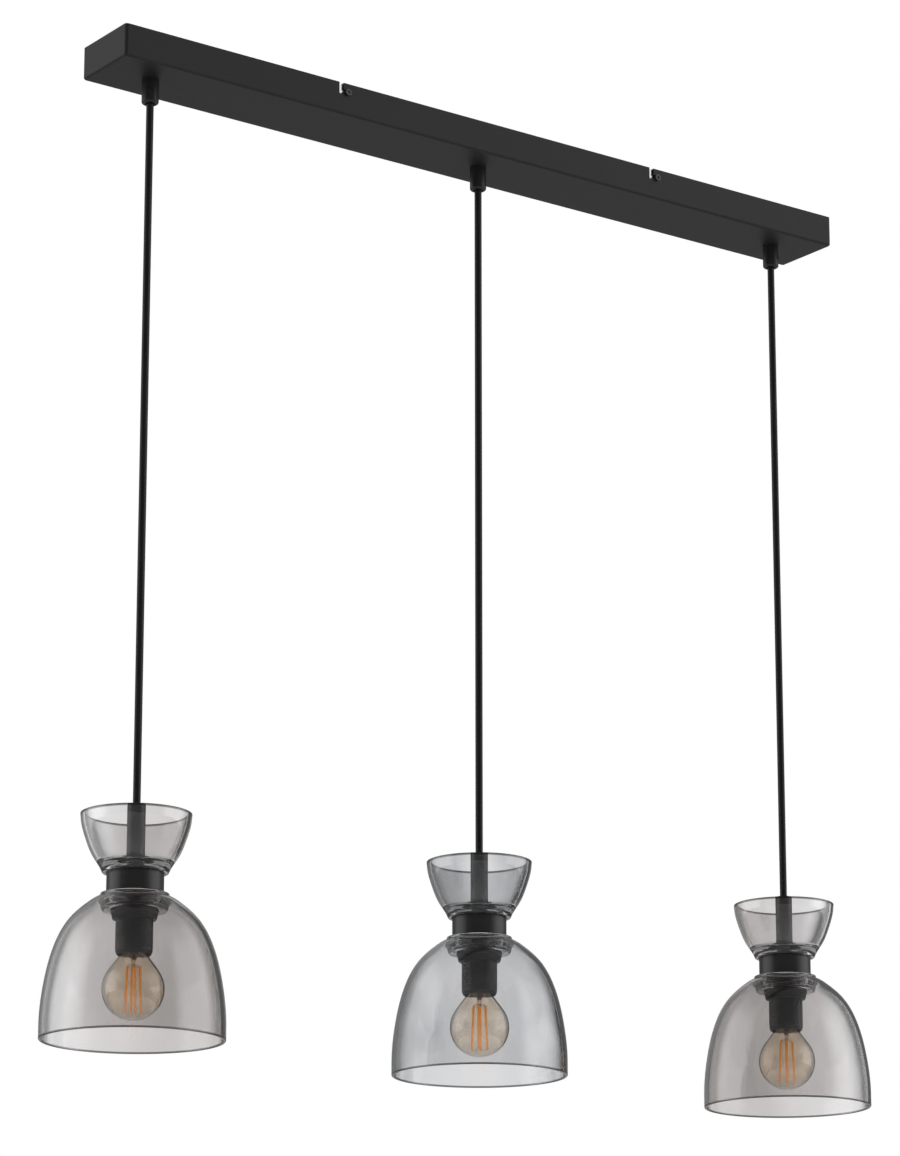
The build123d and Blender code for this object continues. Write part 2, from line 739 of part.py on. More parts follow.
    with BuildPart() as lampholder:
        with BuildSketch(station):
            with BuildLine():
                Polyline(
                    (holder_radius - holder_wall, holder_bottom),
                    (holder_radius, holder_bottom),
                    (holder_radius, holder_flange_bottom),
                    (holder_flange_radius, holder_flange_bottom),
                    (holder_flange_radius, holder_flange_bottom + holder_flange_height),
                    (holder_cap_radius, holder_flange_bottom + holder_flange_height),
                    (holder_cap_radius, holder_cap_top),
                    (holder_neck_radius, holder_cap_top + holder_neck_height),
                    (holder_neck_radius, collar_disc_bottom - collar_lift),
                    (nipple_radius + thread_gap, collar_disc_bottom - collar_lift),
                    (nipple_radius + thread_gap, holder_cap_top),
                    (holder_chamber_radius, holder_cap_top - holder_wall),
                    (holder_chamber_radius, holder_web_top),
                    (contact_radius + thread_gap, holder_web_top),
                    (contact_radius + thread_gap, holder_web_bottom),
                    (shell_outer_radius + thread_gap, holder_web_bottom),
                    (shell_outer_radius + thread_gap, shell_bottom - thread_gap),
                    (holder_radius - holder_wall, shell_bottom - 2 * thread_gap),
                    close=True,
                )
            make_face()
        revolve(axis=axis)
        mouth = lampholder.edges().filter_by(GeomType.CIRCLE)
        mouth = mouth.filter_by(lambda e: abs(e.radius - holder_radius) < 0.01).sort_by(Axis.Z)[0]
        fillet(mouth, min(holder_edge_radius, 0.9 * holder_wall))
        # The slot in the web for the screw shell's lug.
        lug_x = x + shell_radius + shell_wall / 2
        with Locations((lug_x, 0, rim_z + holder_web_bottom + holder_web / 2)):
            Box(
                shell_wall + 2 * thread_gap,
                shell_lug_width + 2 * thread_gap,
                3 * holder_web,
                mode=Mode.SUBTRACT,
            )
    save(lampholder, f"{side}_lampholder")

    with BuildPart() as lamp_contacts:
        with BuildSketch(Plane(origin=(x, 0, rim_z + shell_bottom), z_dir=(0, 0, 1))):
            Circle(shell_outer_radius)
            Circle(shell_radius, mode=Mode.SUBTRACT)
        extrude(amount=shell_top - shell_bottom)
        with Locations((lug_x, 0, rim_z + (shell_top + shell_lug_top) / 2)):
            Box(shell_wall, shell_lug_width, shell_lug_top - shell_top + shell_wall)
        contact_bottom = bulb_tip_height + contact_gap
        with BuildSketch(Plane(origin=(x, 0, rim_z + contact_bottom), z_dir=(0, 0, 1))):
            Circle(contact_radius)
        extrude(amount=holder_web_top + contact_head_height - contact_bottom)
        with BuildSketch(Plane(origin=(x, 0, rim_z + holder_web_top), z_dir=(0, 0, 1))):
            Circle(contact_head_radius)
        extrude(amount=contact_head_height)
    save(lamp_contacts, f"{side}_lamp_contacts")

    # The cable's lower end stands in the bush and the stem, and its two cores reach the contacts.
    with BuildPart() as cable_end:
        sheath_top = rim_z + stem_pivot - cable_radius - cable_end_gap
        sheath_bottom = rim_z + holder_cap_top - cable_radius
        with BuildSketch(Plane(origin=(x, 0, sheath_bottom), z_dir=(0, 0, 1))):
            Circle(cable_radius)
        extrude(amount=sheath_top - sheath_bottom)
        contact_top = rim_z + holder_web_top + contact_head_height
        lug_inside = shell_radius - core_radius
        for away, reach, foot in (
            (-1, contact_radius, contact_top),
            (1, lug_inside, rim_z + holder_web_top),
        ):
            with BuildLine(section_plane(x, 0)) as core:
                FilletPolyline(
                    (away * core_offset, sheath_bottom + core_radius),
                    (away * core_offset, sheath_bottom - core_radius),
                    (away * reach, foot + 3 * core_bend_radius),
                    (away * reach, foot),
                    radius=core_bend_radius,
                )
            with BuildSketch(Plane(core.wires()[0] ^ 0)):
                Circle(core_radius)
            sweep(path=core.wires()[0])
    save(cable_end, f"{side}_cable_end")

    with BuildPart() as shade_ring:
        with BuildSketch(station):
            with BuildLine():
                ring_top = well_foot - collar_lift
                Polyline(
                    (holder_radius + ring_gap, ring_top - ring_height),
                    (ring_foot_radius, ring_top - ring_height),
                    (ring_radius - ring_flange_step, ring_top - ring_flange_height),
                    (ring_radius, ring_top - ring_flange_height),
                    (ring_radius, ring_top),
                    (holder_radius + ring_gap, ring_top),
                    close=True,
                )
            make_face()
        revolve(axis=axis)
    save(shade_ring, f"{side}_shade_ring")

    # The bulb's envelope: a ball, a cone to the neck, and a throat inside the cap.
    with BuildPart() as bulb_glass:
        centre_height = bulb_bottom + bulb_radius
        with BuildSketch(station):
            with BuildLine() as envelope:
                shoulder_angle = radians(bulb_shoulder_angle)
                shoulder = (
                    bulb_radius * cos(shoulder_angle),
                    centre_height + bulb_radius * sin(shoulder_angle),
                )
                ThreePointArc(
                    (0, bulb_bottom),
                    (bulb_radius * cos(pi / 4), centre_height - bulb_radius * sin(pi / 4)),
                    shoulder,
                )
                Spline(
                    shoulder,
                    (bulb_neck_radius, bulb_neck_height),
                    (bulb_throat_radius + bulb_wall, bulb_throat_top),
                    tangents=((-sin(shoulder_angle), cos(shoulder_angle)), (-0.6, 1)),
                )
                thin = bulb_radius - bulb_wall
                inner_shoulder = (
                    thin * cos(shoulder_angle),
                    centre_height + thin * sin(shoulder_angle),
                )
                Line((0, bulb_bottom), (0, bulb_bottom + bulb_wall))
                ThreePointArc(
                    (0, bulb_bottom + bulb_wall),
                    (thin * cos(pi / 4), centre_height - thin * sin(pi / 4)),
                    inner_shoulder,
                )
                Spline(
                    inner_shoulder,
                    (bulb_neck_radius - bulb_wall, bulb_neck_height - 0.4 * bulb_wall),
                    (bulb_throat_radius, bulb_throat_top - 0.4 * bulb_wall),
                    tangents=((-sin(shoulder_angle), cos(shoulder_angle)), (-0.6, 1)),
                )
                Line(
                    (bulb_throat_radius, bulb_throat_top - 0.4 * bulb_wall),
                    (bulb_throat_radius + bulb_wall, bulb_throat_top),
                )
            make_face()
        revolve(axis=axis)
    save(bulb_glass, f"{side}_bulb_glass")

    with BuildPart() as bulb_cap:
        insulator_top = bulb_tip_height - bulb_tip_share * bulb_tip_radius
        thread_top = insulator_top - bulb_insulator_height
        thread_bottom = thread_top - bulb_thread_turns * bulb_thread_pitch
        root = bulb_thread_radius - bulb_thread_depth
        ribs = []
        for turn in range(bulb_thread_turns):
            start = thread_bottom + turn * bulb_thread_pitch
            ribs += [(root, start), (bulb_thread_radius, start + bulb_thread_pitch / 2)]
        with BuildSketch(station):
            with BuildLine():
                skirt_inner = bulb_cap_skirt_radius - bulb_cap_wall
                Polyline(
                    (skirt_inner, bulb_cap_bottom),
                    (bulb_cap_skirt_radius, bulb_cap_bottom),
                    (bulb_thread_radius, thread_bottom - bulb_cap_skirt_foot),
                    *ribs,
                    (root, thread_top),
                    (bulb_tip_radius + bulb_cap_wall, insulator_top),
                    (bulb_tip_radius, insulator_top),
                    (bulb_tip_radius - bulb_tip_edge, bulb_tip_height),
                    (0, bulb_tip_height),
                    (0, thread_top),
                    (root - bulb_cap_wall, thread_top),
                    (root - bulb_cap_wall, thread_bottom),
                    (skirt_inner, bulb_cap_bottom + bulb_cap_wall),
                    close=True,
                )
            make_face()
        revolve(axis=axis)
    save(bulb_cap, f"{side}_bulb_cap")

    # Glass stem, lead wires and upright filaments, standing inside the envelope.
    with BuildPart() as bulb_filaments:
        with BuildSketch(station):
            with BuildLine():
                Polyline(
                    (0, filament_top + bulb_stem_lift),
                    (bulb_stem_radius, filament_top + bulb_stem_lift),
                    (bulb_stem_radius, bulb_neck_height - bulb_stem_foot),
                    (bulb_throat_radius - thread_gap, bulb_throat_top + bulb_stem_foot),
                    (bulb_throat_radius - thread_gap, bulb_throat_top + 2 * bulb_stem_foot),
                    (0, bulb_throat_top + 2 * bulb_stem_foot),
                    close=True,
                )
            make_face()
        revolve(axis=axis)
        with BuildSketch(Plane(origin=(x, 0, rim_z + filament_top), z_dir=(0, 0, 1))):
            Circle(filament_top_radius + filament_wire_radius)
        extrude(amount=2 * filament_wire_radius)
        with BuildSketch(Plane(origin=(x, 0, rim_z + filament_top), z_dir=(0, 0, 1))):
            Circle(filament_top_radius - filament_wire_radius)
        extrude(amount=2 * filament_wire_radius, mode=Mode.SUBTRACT)
        for index in range(filament_count):
            angle = 2 * pi * (index + 0.5) / filament_count
            ray = Vector(cos(angle), sin(angle), 0)
            top = Vector(x, 0, rim_z + filament_top + filament_wire_radius) + ray * filament_top_radius
            low = Vector(x, 0, rim_z + filament_bottom) + ray * filament_bottom_radius
            with BuildSketch(Plane(origin=low, z_dir=top - low)):
                Circle(filament_radius)
            extrude(amount=(top - low).length)
            hub = Vector(x, 0, rim_z + filament_top + bulb_stem_lift + 2 * filament_wire_radius)
            with BuildSketch(Plane(origin=top, z_dir=hub - top)):
                Circle(filament_wire_radius)
            extrude(amount=(hub - top).length)
        with BuildSketch(Plane(origin=(x, 0, rim_z + filament_bottom), z_dir=(0, 0, 1))):
            Circle(filament_bottom_radius + filament_wire_radius)
            Circle(filament_bottom_radius - filament_wire_radius, mode=Mode.SUBTRACT)
        extrude(amount=2 * filament_wire_radius)
    save(bulb_filaments, f"{side}_bulb_filaments")

free_cable = (grip_pivot - rim_z - stem_pivot)
print("free cable, mm:", round(free_cable, 2))
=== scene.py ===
# %% [markdown]
# # A linear island pendant
# This lamp hangs a slim black canopy from the ceiling, with three smoke-glass pendants on
# straight black cables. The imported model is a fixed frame: it says where each piece is and how
# it moves. The script dresses that frame, one piece or finish at a time. What the eye goes to,
# such as glass, bulb and threads, is made anew in its place. The folded and hidden pieces keep
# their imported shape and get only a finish.

# %% Load the frame
import json
import math

import bpy
import numpy as np
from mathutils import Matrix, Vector


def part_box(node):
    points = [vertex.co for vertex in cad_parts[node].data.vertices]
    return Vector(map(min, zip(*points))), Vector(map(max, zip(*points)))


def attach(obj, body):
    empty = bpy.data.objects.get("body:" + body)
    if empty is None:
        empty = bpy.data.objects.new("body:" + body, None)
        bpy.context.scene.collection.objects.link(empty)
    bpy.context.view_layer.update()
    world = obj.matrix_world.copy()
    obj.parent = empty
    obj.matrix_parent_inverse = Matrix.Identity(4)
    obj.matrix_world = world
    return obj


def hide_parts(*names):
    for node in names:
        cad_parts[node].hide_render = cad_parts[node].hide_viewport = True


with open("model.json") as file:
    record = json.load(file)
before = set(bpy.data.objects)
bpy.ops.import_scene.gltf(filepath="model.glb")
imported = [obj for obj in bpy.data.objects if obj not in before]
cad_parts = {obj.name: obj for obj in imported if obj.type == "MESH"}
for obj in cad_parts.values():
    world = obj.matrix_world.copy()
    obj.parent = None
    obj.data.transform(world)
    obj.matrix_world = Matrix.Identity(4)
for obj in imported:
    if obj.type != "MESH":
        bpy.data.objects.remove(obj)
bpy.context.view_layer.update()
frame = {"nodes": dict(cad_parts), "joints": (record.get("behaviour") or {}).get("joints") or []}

MM = 0.001
SIDES = ("left", "middle", "right")

# %% [markdown]
# Every pendant is the same set of turned parts round its own upright axis. Their places could be
# typed in, but then they would drift from the frame. So each pendant is placed by two values that
# the frame gives: where its stem stands, and how high its bell's rim is.

# %% Find the pendants
def axis_of(side):
    """Where a pendant's axis stands, as a point at the height of its bell's rim."""
    low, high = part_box(f"{side}_stem_tube")
    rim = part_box(f"{side}_bell_glass")[0].z
    return Vector(((low.x + high.x) / 2, (low.y + high.y) / 2, rim))


axes = {side: axis_of(side) for side in SIDES}
for side in SIDES:
    print(side, "axis and rim:", tuple(round(v, 4) for v in axes[side]))

# %% [markdown]
# ## Camera
# The photograph looks up at the lamp from the left and below. A wide lens close by would spread
# the cables apart, so a long lens stands far off and keeps them nearly parallel. A small shift
# raises the view without tilting the cables further.

# %% Set up the camera
CAMERA_PLACE = (-1.712, -2.298, -1.133)
CAMERA_HEADING = math.radians(-36.25)
CAMERA_TILT = math.radians(13.48)
CAMERA_LENS = 121.7
CAMERA_SENSOR = 36.0
CAMERA_SHIFT = 0.1
CAMERA_REACH = 60.0

camera_data = bpy.data.cameras.new("photo_camera")
camera_data.lens = CAMERA_LENS
camera_data.sensor_width = CAMERA_SENSOR
camera_data.shift_y = CAMERA_SHIFT
camera_data.clip_end = CAMERA_REACH
camera = bpy.data.objects.new("photo_camera", camera_data)
camera.location = CAMERA_PLACE
camera.rotation_euler = (math.pi / 2 + CAMERA_TILT, 0.0, CAMERA_HEADING)
bpy.context.collection.objects.link(camera)
bpy.context.scene.camera = camera
print("camera is", round((camera.location - axes["middle"]).length, 2), "m from the middle pendant")

# %% [markdown]
# ## Node helpers
# Materials, world and Geometry Nodes are all trees of nodes with links between them. Most steps
# are the same three: a link, a sum or product, and a smooth change from one level to another. Each
# gets a helper, so that the later cells read as what they make.

# %% Helpers that join nodes
def join(tree, source, output, target, entry):
    """Link one node's output to another node's input."""
    tree.links.new(source.outputs[output], target.inputs[entry])


def join_all(tree, *links):
    """Make several links, each given as (source, output, target, input)."""
    for link in links:
        join(tree, *link)


def math_node(tree, operation, first=None, second=None):
    """A math node whose inputs are numbers or (node, output) pairs."""
    node = tree.nodes.new("ShaderNodeMath")
    node.operation = operation
    for entry, value in enumerate((first, second)):
        if isinstance(value, tuple):
            join(tree, value[0], value[1], node, entry)
        elif value is not None:
            node.inputs[entry].default_value = value
    return node


def combine(tree, operation, first, second):
    """Two levels added or multiplied."""
    return math_node(tree, operation, (first, 0), (second, 0))


def ramp_node(tree, source, output, low, high, at_low, at_high):
    """A smooth change from one level to another as a value goes from low to high."""
    node = tree.nodes.new("ShaderNodeMapRange")
    node.interpolation_type = "SMOOTHSTEP"
    join(tree, source, output, node, "Value")
    node.inputs["From Min"].default_value = low
    node.inputs["From Max"].default_value = high
    node.inputs["To Min"].default_value = at_low
    node.inputs["To Max"].default_value = at_high
    return node


print("node helpers ready")

# %% [markdown]
# ## Room and light
# Glass shows little of itself and much of its room. The room could be built from cards and lamps,
# but the world's nodes give soft edges and nothing that could stand in the picture. The world is
# a small studio, and each kind of ray sees it in its own way. The camera sees plain white, and
# matt surfaces an even fill. Glass lets the backdrop through: white round the horizon, dimmer
# straight up and down, with a dark screen at each side and a curtain behind the camera. Edges and
# rims bend the view far enough to find those, and that draws the fine dark lines on clear glass.
# Glossy surfaces see a dim room with two tall windows at the sides, so that a black tube gets its
# two pale bands. The windows shine through the glass too, a little weaker.

# %% Where the studio's screens and windows are
WINDOWS = ((-0.80, 0.60, 0), (0.82, -0.57, 0))
SCREENS = (((0.85, 0.53, 0), 0.08), ((0.25, 0.97, 0), 0.4))
CURTAIN = (-0.59, -0.81, 0)
WINDOW_EDGE = (0.80, 0.985)
SCREEN_EDGE = (0.970, 0.988)
CURTAIN_EDGE = (0.4, 0.9)


def toward(tree, flat_way, place, edge, far_level, near_level):
    """A level for directions near an azimuth: a strip as tall as the room, with soft edges."""
    facing = tree.nodes.new("ShaderNodeVectorMath")
    facing.operation = "DOT_PRODUCT"
    facing.inputs[1].default_value = Vector(place).normalized()
    join(tree, flat_way, 0, facing, 0)
    return ramp_node(tree, facing, "Value", *edge, far_level, near_level)


print("studio:", len(WINDOWS), "windows,", len(SCREENS), "screens and a curtain")

# %% Find the direction of each ray
world = bpy.data.worlds.new("soft_studio")
bpy.context.scene.world = world
world.use_nodes = True
tree = world.node_tree
tree.nodes.clear()
way = tree.nodes.new("ShaderNodeTexCoord")
split = tree.nodes.new("ShaderNodeSeparateXYZ")
level_way = tree.nodes.new("ShaderNodeVectorMath")
level_way.operation = "MULTIPLY"
level_way.inputs[1].default_value = (1, 1, 0)
flat_way = tree.nodes.new("ShaderNodeVectorMath")
flat_way.operation = "NORMALIZE"
join_all(tree, (way, "Generated", split, 0), (way, "Generated", level_way, 0),
         (level_way, 0, flat_way, 0))
steep = math_node(tree, "ABSOLUTE", (split, "Z"))
print("direction nodes:", len(tree.nodes))

# %% Set the levels of room and backdrop
ROOM_LEVEL, ROOM_POLE_LEVEL, ROOM_FADE = 0.22, 0.3, (0.3, 0.9)
BACKDROP_LEVEL, BACKDROP_POLE_LEVEL, BACKDROP_FADE = 1.0, 0.1, (0.5, 0.92)
CURTAIN_LEVEL = 0.45
WINDOW_LEVEL, WINDOW_FADE = 1.8, (0.45, 0.85)
GLASS_WINDOW_SHARE = 0.9

room = ramp_node(tree, steep, 0, *ROOM_FADE, ROOM_LEVEL, ROOM_POLE_LEVEL)
backdrop = ramp_node(tree, steep, 0, *BACKDROP_FADE, BACKDROP_LEVEL, BACKDROP_POLE_LEVEL)
for place, strength in SCREENS:
    screen = toward(tree, flat_way, place, SCREEN_EDGE, 1, strength)
    backdrop = combine(tree, "MULTIPLY", backdrop, screen)
curtain = toward(tree, flat_way, CURTAIN, CURTAIN_EDGE, 1, CURTAIN_LEVEL)
backdrop = combine(tree, "MULTIPLY", backdrop, curtain)
height_fade = ramp_node(tree, steep, 0, *WINDOW_FADE, 1, 0)
for place in WINDOWS:
    glow = toward(tree, flat_way, place, WINDOW_EDGE, 0, WINDOW_LEVEL)
    glow = combine(tree, "MULTIPLY", glow, height_fade)
    room = combine(tree, "ADD", room, glow)
    through_glass = math_node(tree, "MULTIPLY", (glow, 0), GLASS_WINDOW_SHARE)
    backdrop = combine(tree, "ADD", backdrop, through_glass)
print("level nodes:", len(tree.nodes))

# %% Give each kind of ray its level
FILL_LEVEL = 0.62
CAMERA_LEVEL = 1.0

rays = tree.nodes.new("ShaderNodeLightPath")
level = FILL_LEVEL
for ray, strength in (("Is Glossy Ray", room), ("Is Transmission Ray", backdrop),
                      ("Is Camera Ray", CAMERA_LEVEL)):
    pick = tree.nodes.new("ShaderNodeMix")
    join(tree, rays, ray, pick, "Factor")
    for entry, value in (("A", level), ("B", strength)):
        if isinstance(value, float):
            pick.inputs[entry].default_value = value
        else:
            join(tree, value, 0, pick, entry)
    level = pick
shade = tree.nodes.new("ShaderNodeBackground")
shade.inputs["Color"].default_value = (1, 1, 1, 1)
out = tree.nodes.new("ShaderNodeOutputWorld")
join_all(tree, (level, 0, shade, "Strength"), (shade, 0, out, 0))
print("world nodes:", len(tree.nodes))

# %% [markdown]
# Soft lamps light the surfaces from the sides and a little from below, so that the folded edges
# of the canopy read. Their own rectangles would show as hard-edged patches on the glass. So they
# are hidden from reflections, where the world's soft windows stand for them.

# %% Hang the lamps
LAMP_AIM = (0.0, 0.0, -0.45)
LAMPS = {
    "left_softbox": ((-3.2, -0.6, -0.3), (1.0, 2.2), 40.0),
    "right_softbox": ((1.9, -2.9, -0.2), (1.0, 2.2), 40.0),
    "low_fill": ((0.2, -1.6, -2.1), (1.6, 1.0), 16.0),
}


def soft_lamp(name, place, size, power):
    """A rectangular soft lamp at a place, turned to the lamps' common aim."""
    data = bpy.data.lights.new(name, "AREA")
    data.shape = "RECTANGLE"
    data.size, data.size_y = size
    data.energy = power
    lamp = bpy.data.objects.new(name, data)
    lamp.location = place
    lamp.rotation_euler = (Vector(LAMP_AIM) - Vector(place)).to_track_quat("-Z", "Y").to_euler()
    lamp.visible_glossy = False
    lamp.visible_transmission = False
    bpy.context.collection.objects.link(lamp)


for name, (place, size, power) in LAMPS.items():
    soft_lamp(name, place, size, power)

# %% [markdown]
# The floor lies as far below the canopy as in a real room. It is a plain pale plane, and it isn't
# part of the lamp. A floor lit only by the lamps would look grey beside a white backdrop, so it is
# lifted a little where the camera sees it, directly or through glass. Seen from underneath it is
# clear, so that a view from below still shows the lamp.

# %% Mix the floor's paint
FLOOR_TONES = ((0.80, 0.80, 0.80, 1), (0.84, 0.84, 0.84, 1))
FLOOR_ROUGHNESS = 0.9
FLOOR_MOTTLE = 3.0
FLOOR_LIFT = 0.3


def floor_paint():
    """Pale matt paint with a faint mottle, clear from underneath."""
    material = bpy.data.materials.new("pale_floor")
    material.use_nodes = True
    tree = material.node_tree
    skin = tree.nodes["Principled BSDF"]
    skin.inputs["Roughness"].default_value = FLOOR_ROUGHNESS
    mottle = tree.nodes.new("ShaderNodeTexNoise")
    mottle.inputs["Scale"].default_value = FLOOR_MOTTLE
    tones = tree.nodes.new("ShaderNodeValToRGB")
    for stop, tone in zip(tones.color_ramp.elements, FLOOR_TONES):
        stop.color = tone
    rays = tree.nodes.new("ShaderNodeLightPath")
    seen = math_node(tree, "ADD", (rays, "Is Camera Ray"), (rays, "Is Transmission Ray"))
    lift = math_node(tree, "MULTIPLY", (seen, 0), FLOOR_LIFT)
    under = tree.nodes.new("ShaderNodeNewGeometry")
    clear = tree.nodes.new("ShaderNodeBsdfTransparent")
    choice = tree.nodes.new("ShaderNodeMixShader")
    join_all(tree, (mottle, 0, tones, 0), (tones, 0, skin, "Base Color"),
             (lift, 0, skin, "Emission Strength"), (under, "Backfacing", choice, 0),
             (skin, 0, choice, 1), (clear, 0, choice, 2),
             (choice, 0, tree.nodes["Material Output"], "Surface"))
    return material


print("floor paint ready, with a lift of", FLOOR_LIFT)

# %% Lay the floor
FLOOR_DEPTH = 2.4
FLOOR_HALF = 12.0

floor_mesh = bpy.data.meshes.new("floor")
floor_corners = [(x * FLOOR_HALF, y * FLOOR_HALF, -FLOOR_DEPTH)
                 for x, y in ((-1, -1), (1, -1), (1, 1), (-1, 1))]
floor_mesh.from_pydata(floor_corners, [], [(0, 1, 2, 3)])
floor_mesh.materials.append(floor_paint())
floor = bpy.data.objects.new("floor", floor_mesh)
bpy.context.collection.objects.link(floor)
print("floor at", -FLOOR_DEPTH, "m")

# %% [markdown]
# ## Finishes
# Coat, moulding and plate all have small faults that tell the eye what they are. A painted image
# could carry them, but noise costs less and never runs out at a seam. One small builder holds
# what all opaque finishes share: a base colour that varies a little, a roughness that varies with
# it, and a fine bump. Each finish sets its own scale and strength. Patterns read object
# coordinates in metres, so a grain of 1000 has marks a millimetre apart.

# %% A builder for opaque finishes
GRAIN_DETAIL = 4.0
TONE_STOPS = (0.35, 0.65)
RELIEF_DEPTH = 0.2 * MM


def finish_of(name, dark, pale, grain, rough, rough_spread, bump, stretch=(1, 1, 1), metal=0.0,
              gleam=0.5):
    """An opaque finish: two tones mixed by noise, roughness that follows it, and a fine bump."""
    material = bpy.data.materials.new(name)
    material.use_nodes = True
    tree = material.node_tree
    skin = tree.nodes["Principled BSDF"]
    skin.inputs["Metallic"].default_value = metal
    skin.inputs["Specular IOR Level"].default_value = gleam
    where = tree.nodes.new("ShaderNodeTexCoord")
    scale = tree.nodes.new("ShaderNodeMapping")
    scale.inputs["Scale"].default_value = stretch
    noise = tree.nodes.new("ShaderNodeTexNoise")
    noise.inputs["Scale"].default_value = grain
    noise.inputs["Detail"].default_value = GRAIN_DETAIL
    tones = tree.nodes.new("ShaderNodeValToRGB")
    for stop, place, tone in zip(tones.color_ramp.elements, TONE_STOPS, (dark, pale)):
        stop.position = place
        stop.color = (*tone, 1)
    spread = tree.nodes.new("ShaderNodeMapRange")
    spread.inputs["To Min"].default_value = rough - rough_spread
    spread.inputs["To Max"].default_value = rough + rough_spread
    relief = tree.nodes.new("ShaderNodeBump")
    relief.inputs["Strength"].default_value = bump
    relief.inputs["Distance"].default_value = RELIEF_DEPTH
    join_all(tree, (where, "Object", scale, "Vector"), (scale, "Vector", noise, "Vector"),
             (noise, 0, tones, 0), (tones, 0, skin, "Base Color"), (noise, 0, spread, "Value"),
             (spread, "Result", skin, "Roughness"), (noise, 0, relief, "Height"),
             (relief, "Normal", skin, "Normal"))
    return material


print("opaque builder ready")

# %% [markdown]
# The canopy wears a matt powder coat with a fine orange peel. The turned metal of collar and stem
# is smoother, with faint rings left by turning, so its noise is stretched round the axis: it
# changes fast with height and slowly across. Plastic parts are a little glossier than the coat.

# %% Black finishes
COAT_TONES = ((0.007, 0.007, 0.0075), (0.011, 0.011, 0.0115))

powder_coat = finish_of(
    "black_powder_coat", *COAT_TONES, grain=1400, rough=0.5, rough_spread=0.06, bump=0.35,
    gleam=0.22)
turned_black = finish_of(
    "satin_black_metal", *COAT_TONES, grain=160, rough=0.34, rough_spread=0.05, bump=0.12,
    stretch=(0.4, 0.4, 12), gleam=0.36)
screw_black = finish_of(
    "black_screw", (0.03, 0.03, 0.03), (0.06, 0.06, 0.06), grain=900, rough=0.3,
    rough_spread=0.08, bump=0.2, metal=0.8)
grip_plastic = finish_of(
    "black_grip_plastic", (0.005, 0.005, 0.0055), (0.008, 0.008, 0.0085), grain=1100, rough=0.38,
    rough_spread=0.05, bump=0.2, gleam=0.32)
holder_plastic = finish_of(
    "black_holder_plastic", (0.008, 0.008, 0.0085), (0.013, 0.013, 0.0135), grain=700, rough=0.36,
    rough_spread=0.06, bump=0.15, gleam=0.4)
cable_sheath = finish_of(
    "black_cable_sheath", (0.003, 0.003, 0.0033), (0.005, 0.005, 0.0055), grain=500, rough=0.42,
    rough_spread=0.05, bump=0.12, stretch=(1, 1, 0.1), gleam=0.22)
washer_rubber = finish_of(
    "black_rubber", (0.02, 0.02, 0.02), (0.035, 0.035, 0.035), grain=800, rough=0.75,
    rough_spread=0.05, bump=0.3)
print("black finishes:", len(bpy.data.materials))

# %% [markdown]
# Bracket and nuts are zinc plated, the bulb's cap is nickel and the contacts are brass. Plate is
# brushed one way before it is plated, so its noise is stretched along the strap. The terminal
# block is white nylon.

# %% Metal and small-part finishes
zinc_plate = finish_of(
    "bright_zinc", (0.52, 0.54, 0.56), (0.68, 0.70, 0.72), grain=220, rough=0.32,
    rough_spread=0.08, bump=0.15, stretch=(0.15, 1, 1), metal=1.0)
nickel_plate = finish_of(
    "bulb_nickel", (0.60, 0.58, 0.54), (0.74, 0.72, 0.68), grain=500, rough=0.22,
    rough_spread=0.05, bump=0.1, stretch=(0.3, 0.3, 4), metal=1.0)
bare_brass = finish_of(
    "contact_brass", (0.62, 0.44, 0.18), (0.74, 0.55, 0.26), grain=400, rough=0.3,
    rough_spread=0.08, bump=0.1, metal=1.0)
white_nylon = finish_of(
    "terminal_nylon", (0.74, 0.74, 0.71), (0.84, 0.84, 0.81), grain=500, rough=0.5,
    rough_spread=0.06, bump=0.15)
print("metal and small-part finishes done")

# %% [markdown]
# The filaments are rods coated with orange phosphor. The bulb is off, but the phosphor catches
# light from all round inside its envelope and looks brighter than paint. That caught light is
# painted on as a weak glow, because a lamp in the bulb would light the glass as well.

# %% Phosphor finish with a painted glow
PAINTED_PHOSPHOR_LIGHT = (1.0, 0.36, 0.02, 1)
PAINTED_PHOSPHOR_LIGHT_STRENGTH = 0.4

phosphor = finish_of(
    "filament_phosphor", (0.93, 0.36, 0.01), (1.0, 0.48, 0.03), grain=900, rough=0.5,
    rough_spread=0.1, bump=0.3)
phosphor_skin = phosphor.node_tree.nodes["Principled BSDF"]
# The emission is painted light: the phosphor is not a lamp here.
phosphor_skin.inputs["Emission Color"].default_value = PAINTED_PHOSPHOR_LIGHT
phosphor_skin.inputs["Emission Strength"].default_value = PAINTED_PHOSPHOR_LIGHT_STRENGTH
print("phosphor glow:", PAINTED_PHOSPHOR_LIGHT_STRENGTH)

# %% [markdown]
# The earth lead is green and yellow. It is a few millimetres of wire inside the canopy, so a
# stripe that winds round it isn't worth its nodes: noise, stretched along the lead and fast
# across its width, gives long streaks of the two colours.

# %% Earth lead finish
earth_sleeve = finish_of(
    "earth_green_yellow", (0.05, 0.28, 0.06), (0.62, 0.55, 0.04), grain=60, rough=0.45,
    rough_spread=0.05, bump=0.1, stretch=(0.2, 20, 0.2))
print("earth lead:", earth_sleeve.name)

# %% [markdown]
# ## Glass
# Smoke glass could be tinted all through, but this lamp's glass has most of its grey in a thin film
# on its surface: the thick foot of the cup looks nearly as clear as the thin wall. So the surface
# carries the tint. The three pendants differ in tone through the light and reflections round them,
# and that is painted into the film as light and shade: its tone changes with the distance from the
# lamp's middle, measured along one fixed line across the row. Slow clouds break up that change, and
# the cups are read a little further along the line than the bells.

# %% Where the film and its painted light and shade are deep or pale
ACROSS = (0.806, -0.591, 0.0)
CLOUD_SCALE = 18.0
CLOUD_DRIFT = 0.02
CUP_START = (axes["middle"].z + 112 * MM, axes["middle"].z + 122 * MM)
# The cups' shift moves their painted light and shade along the row.
CUP_PAINTED_LIGHT_SHIFT = 0.03


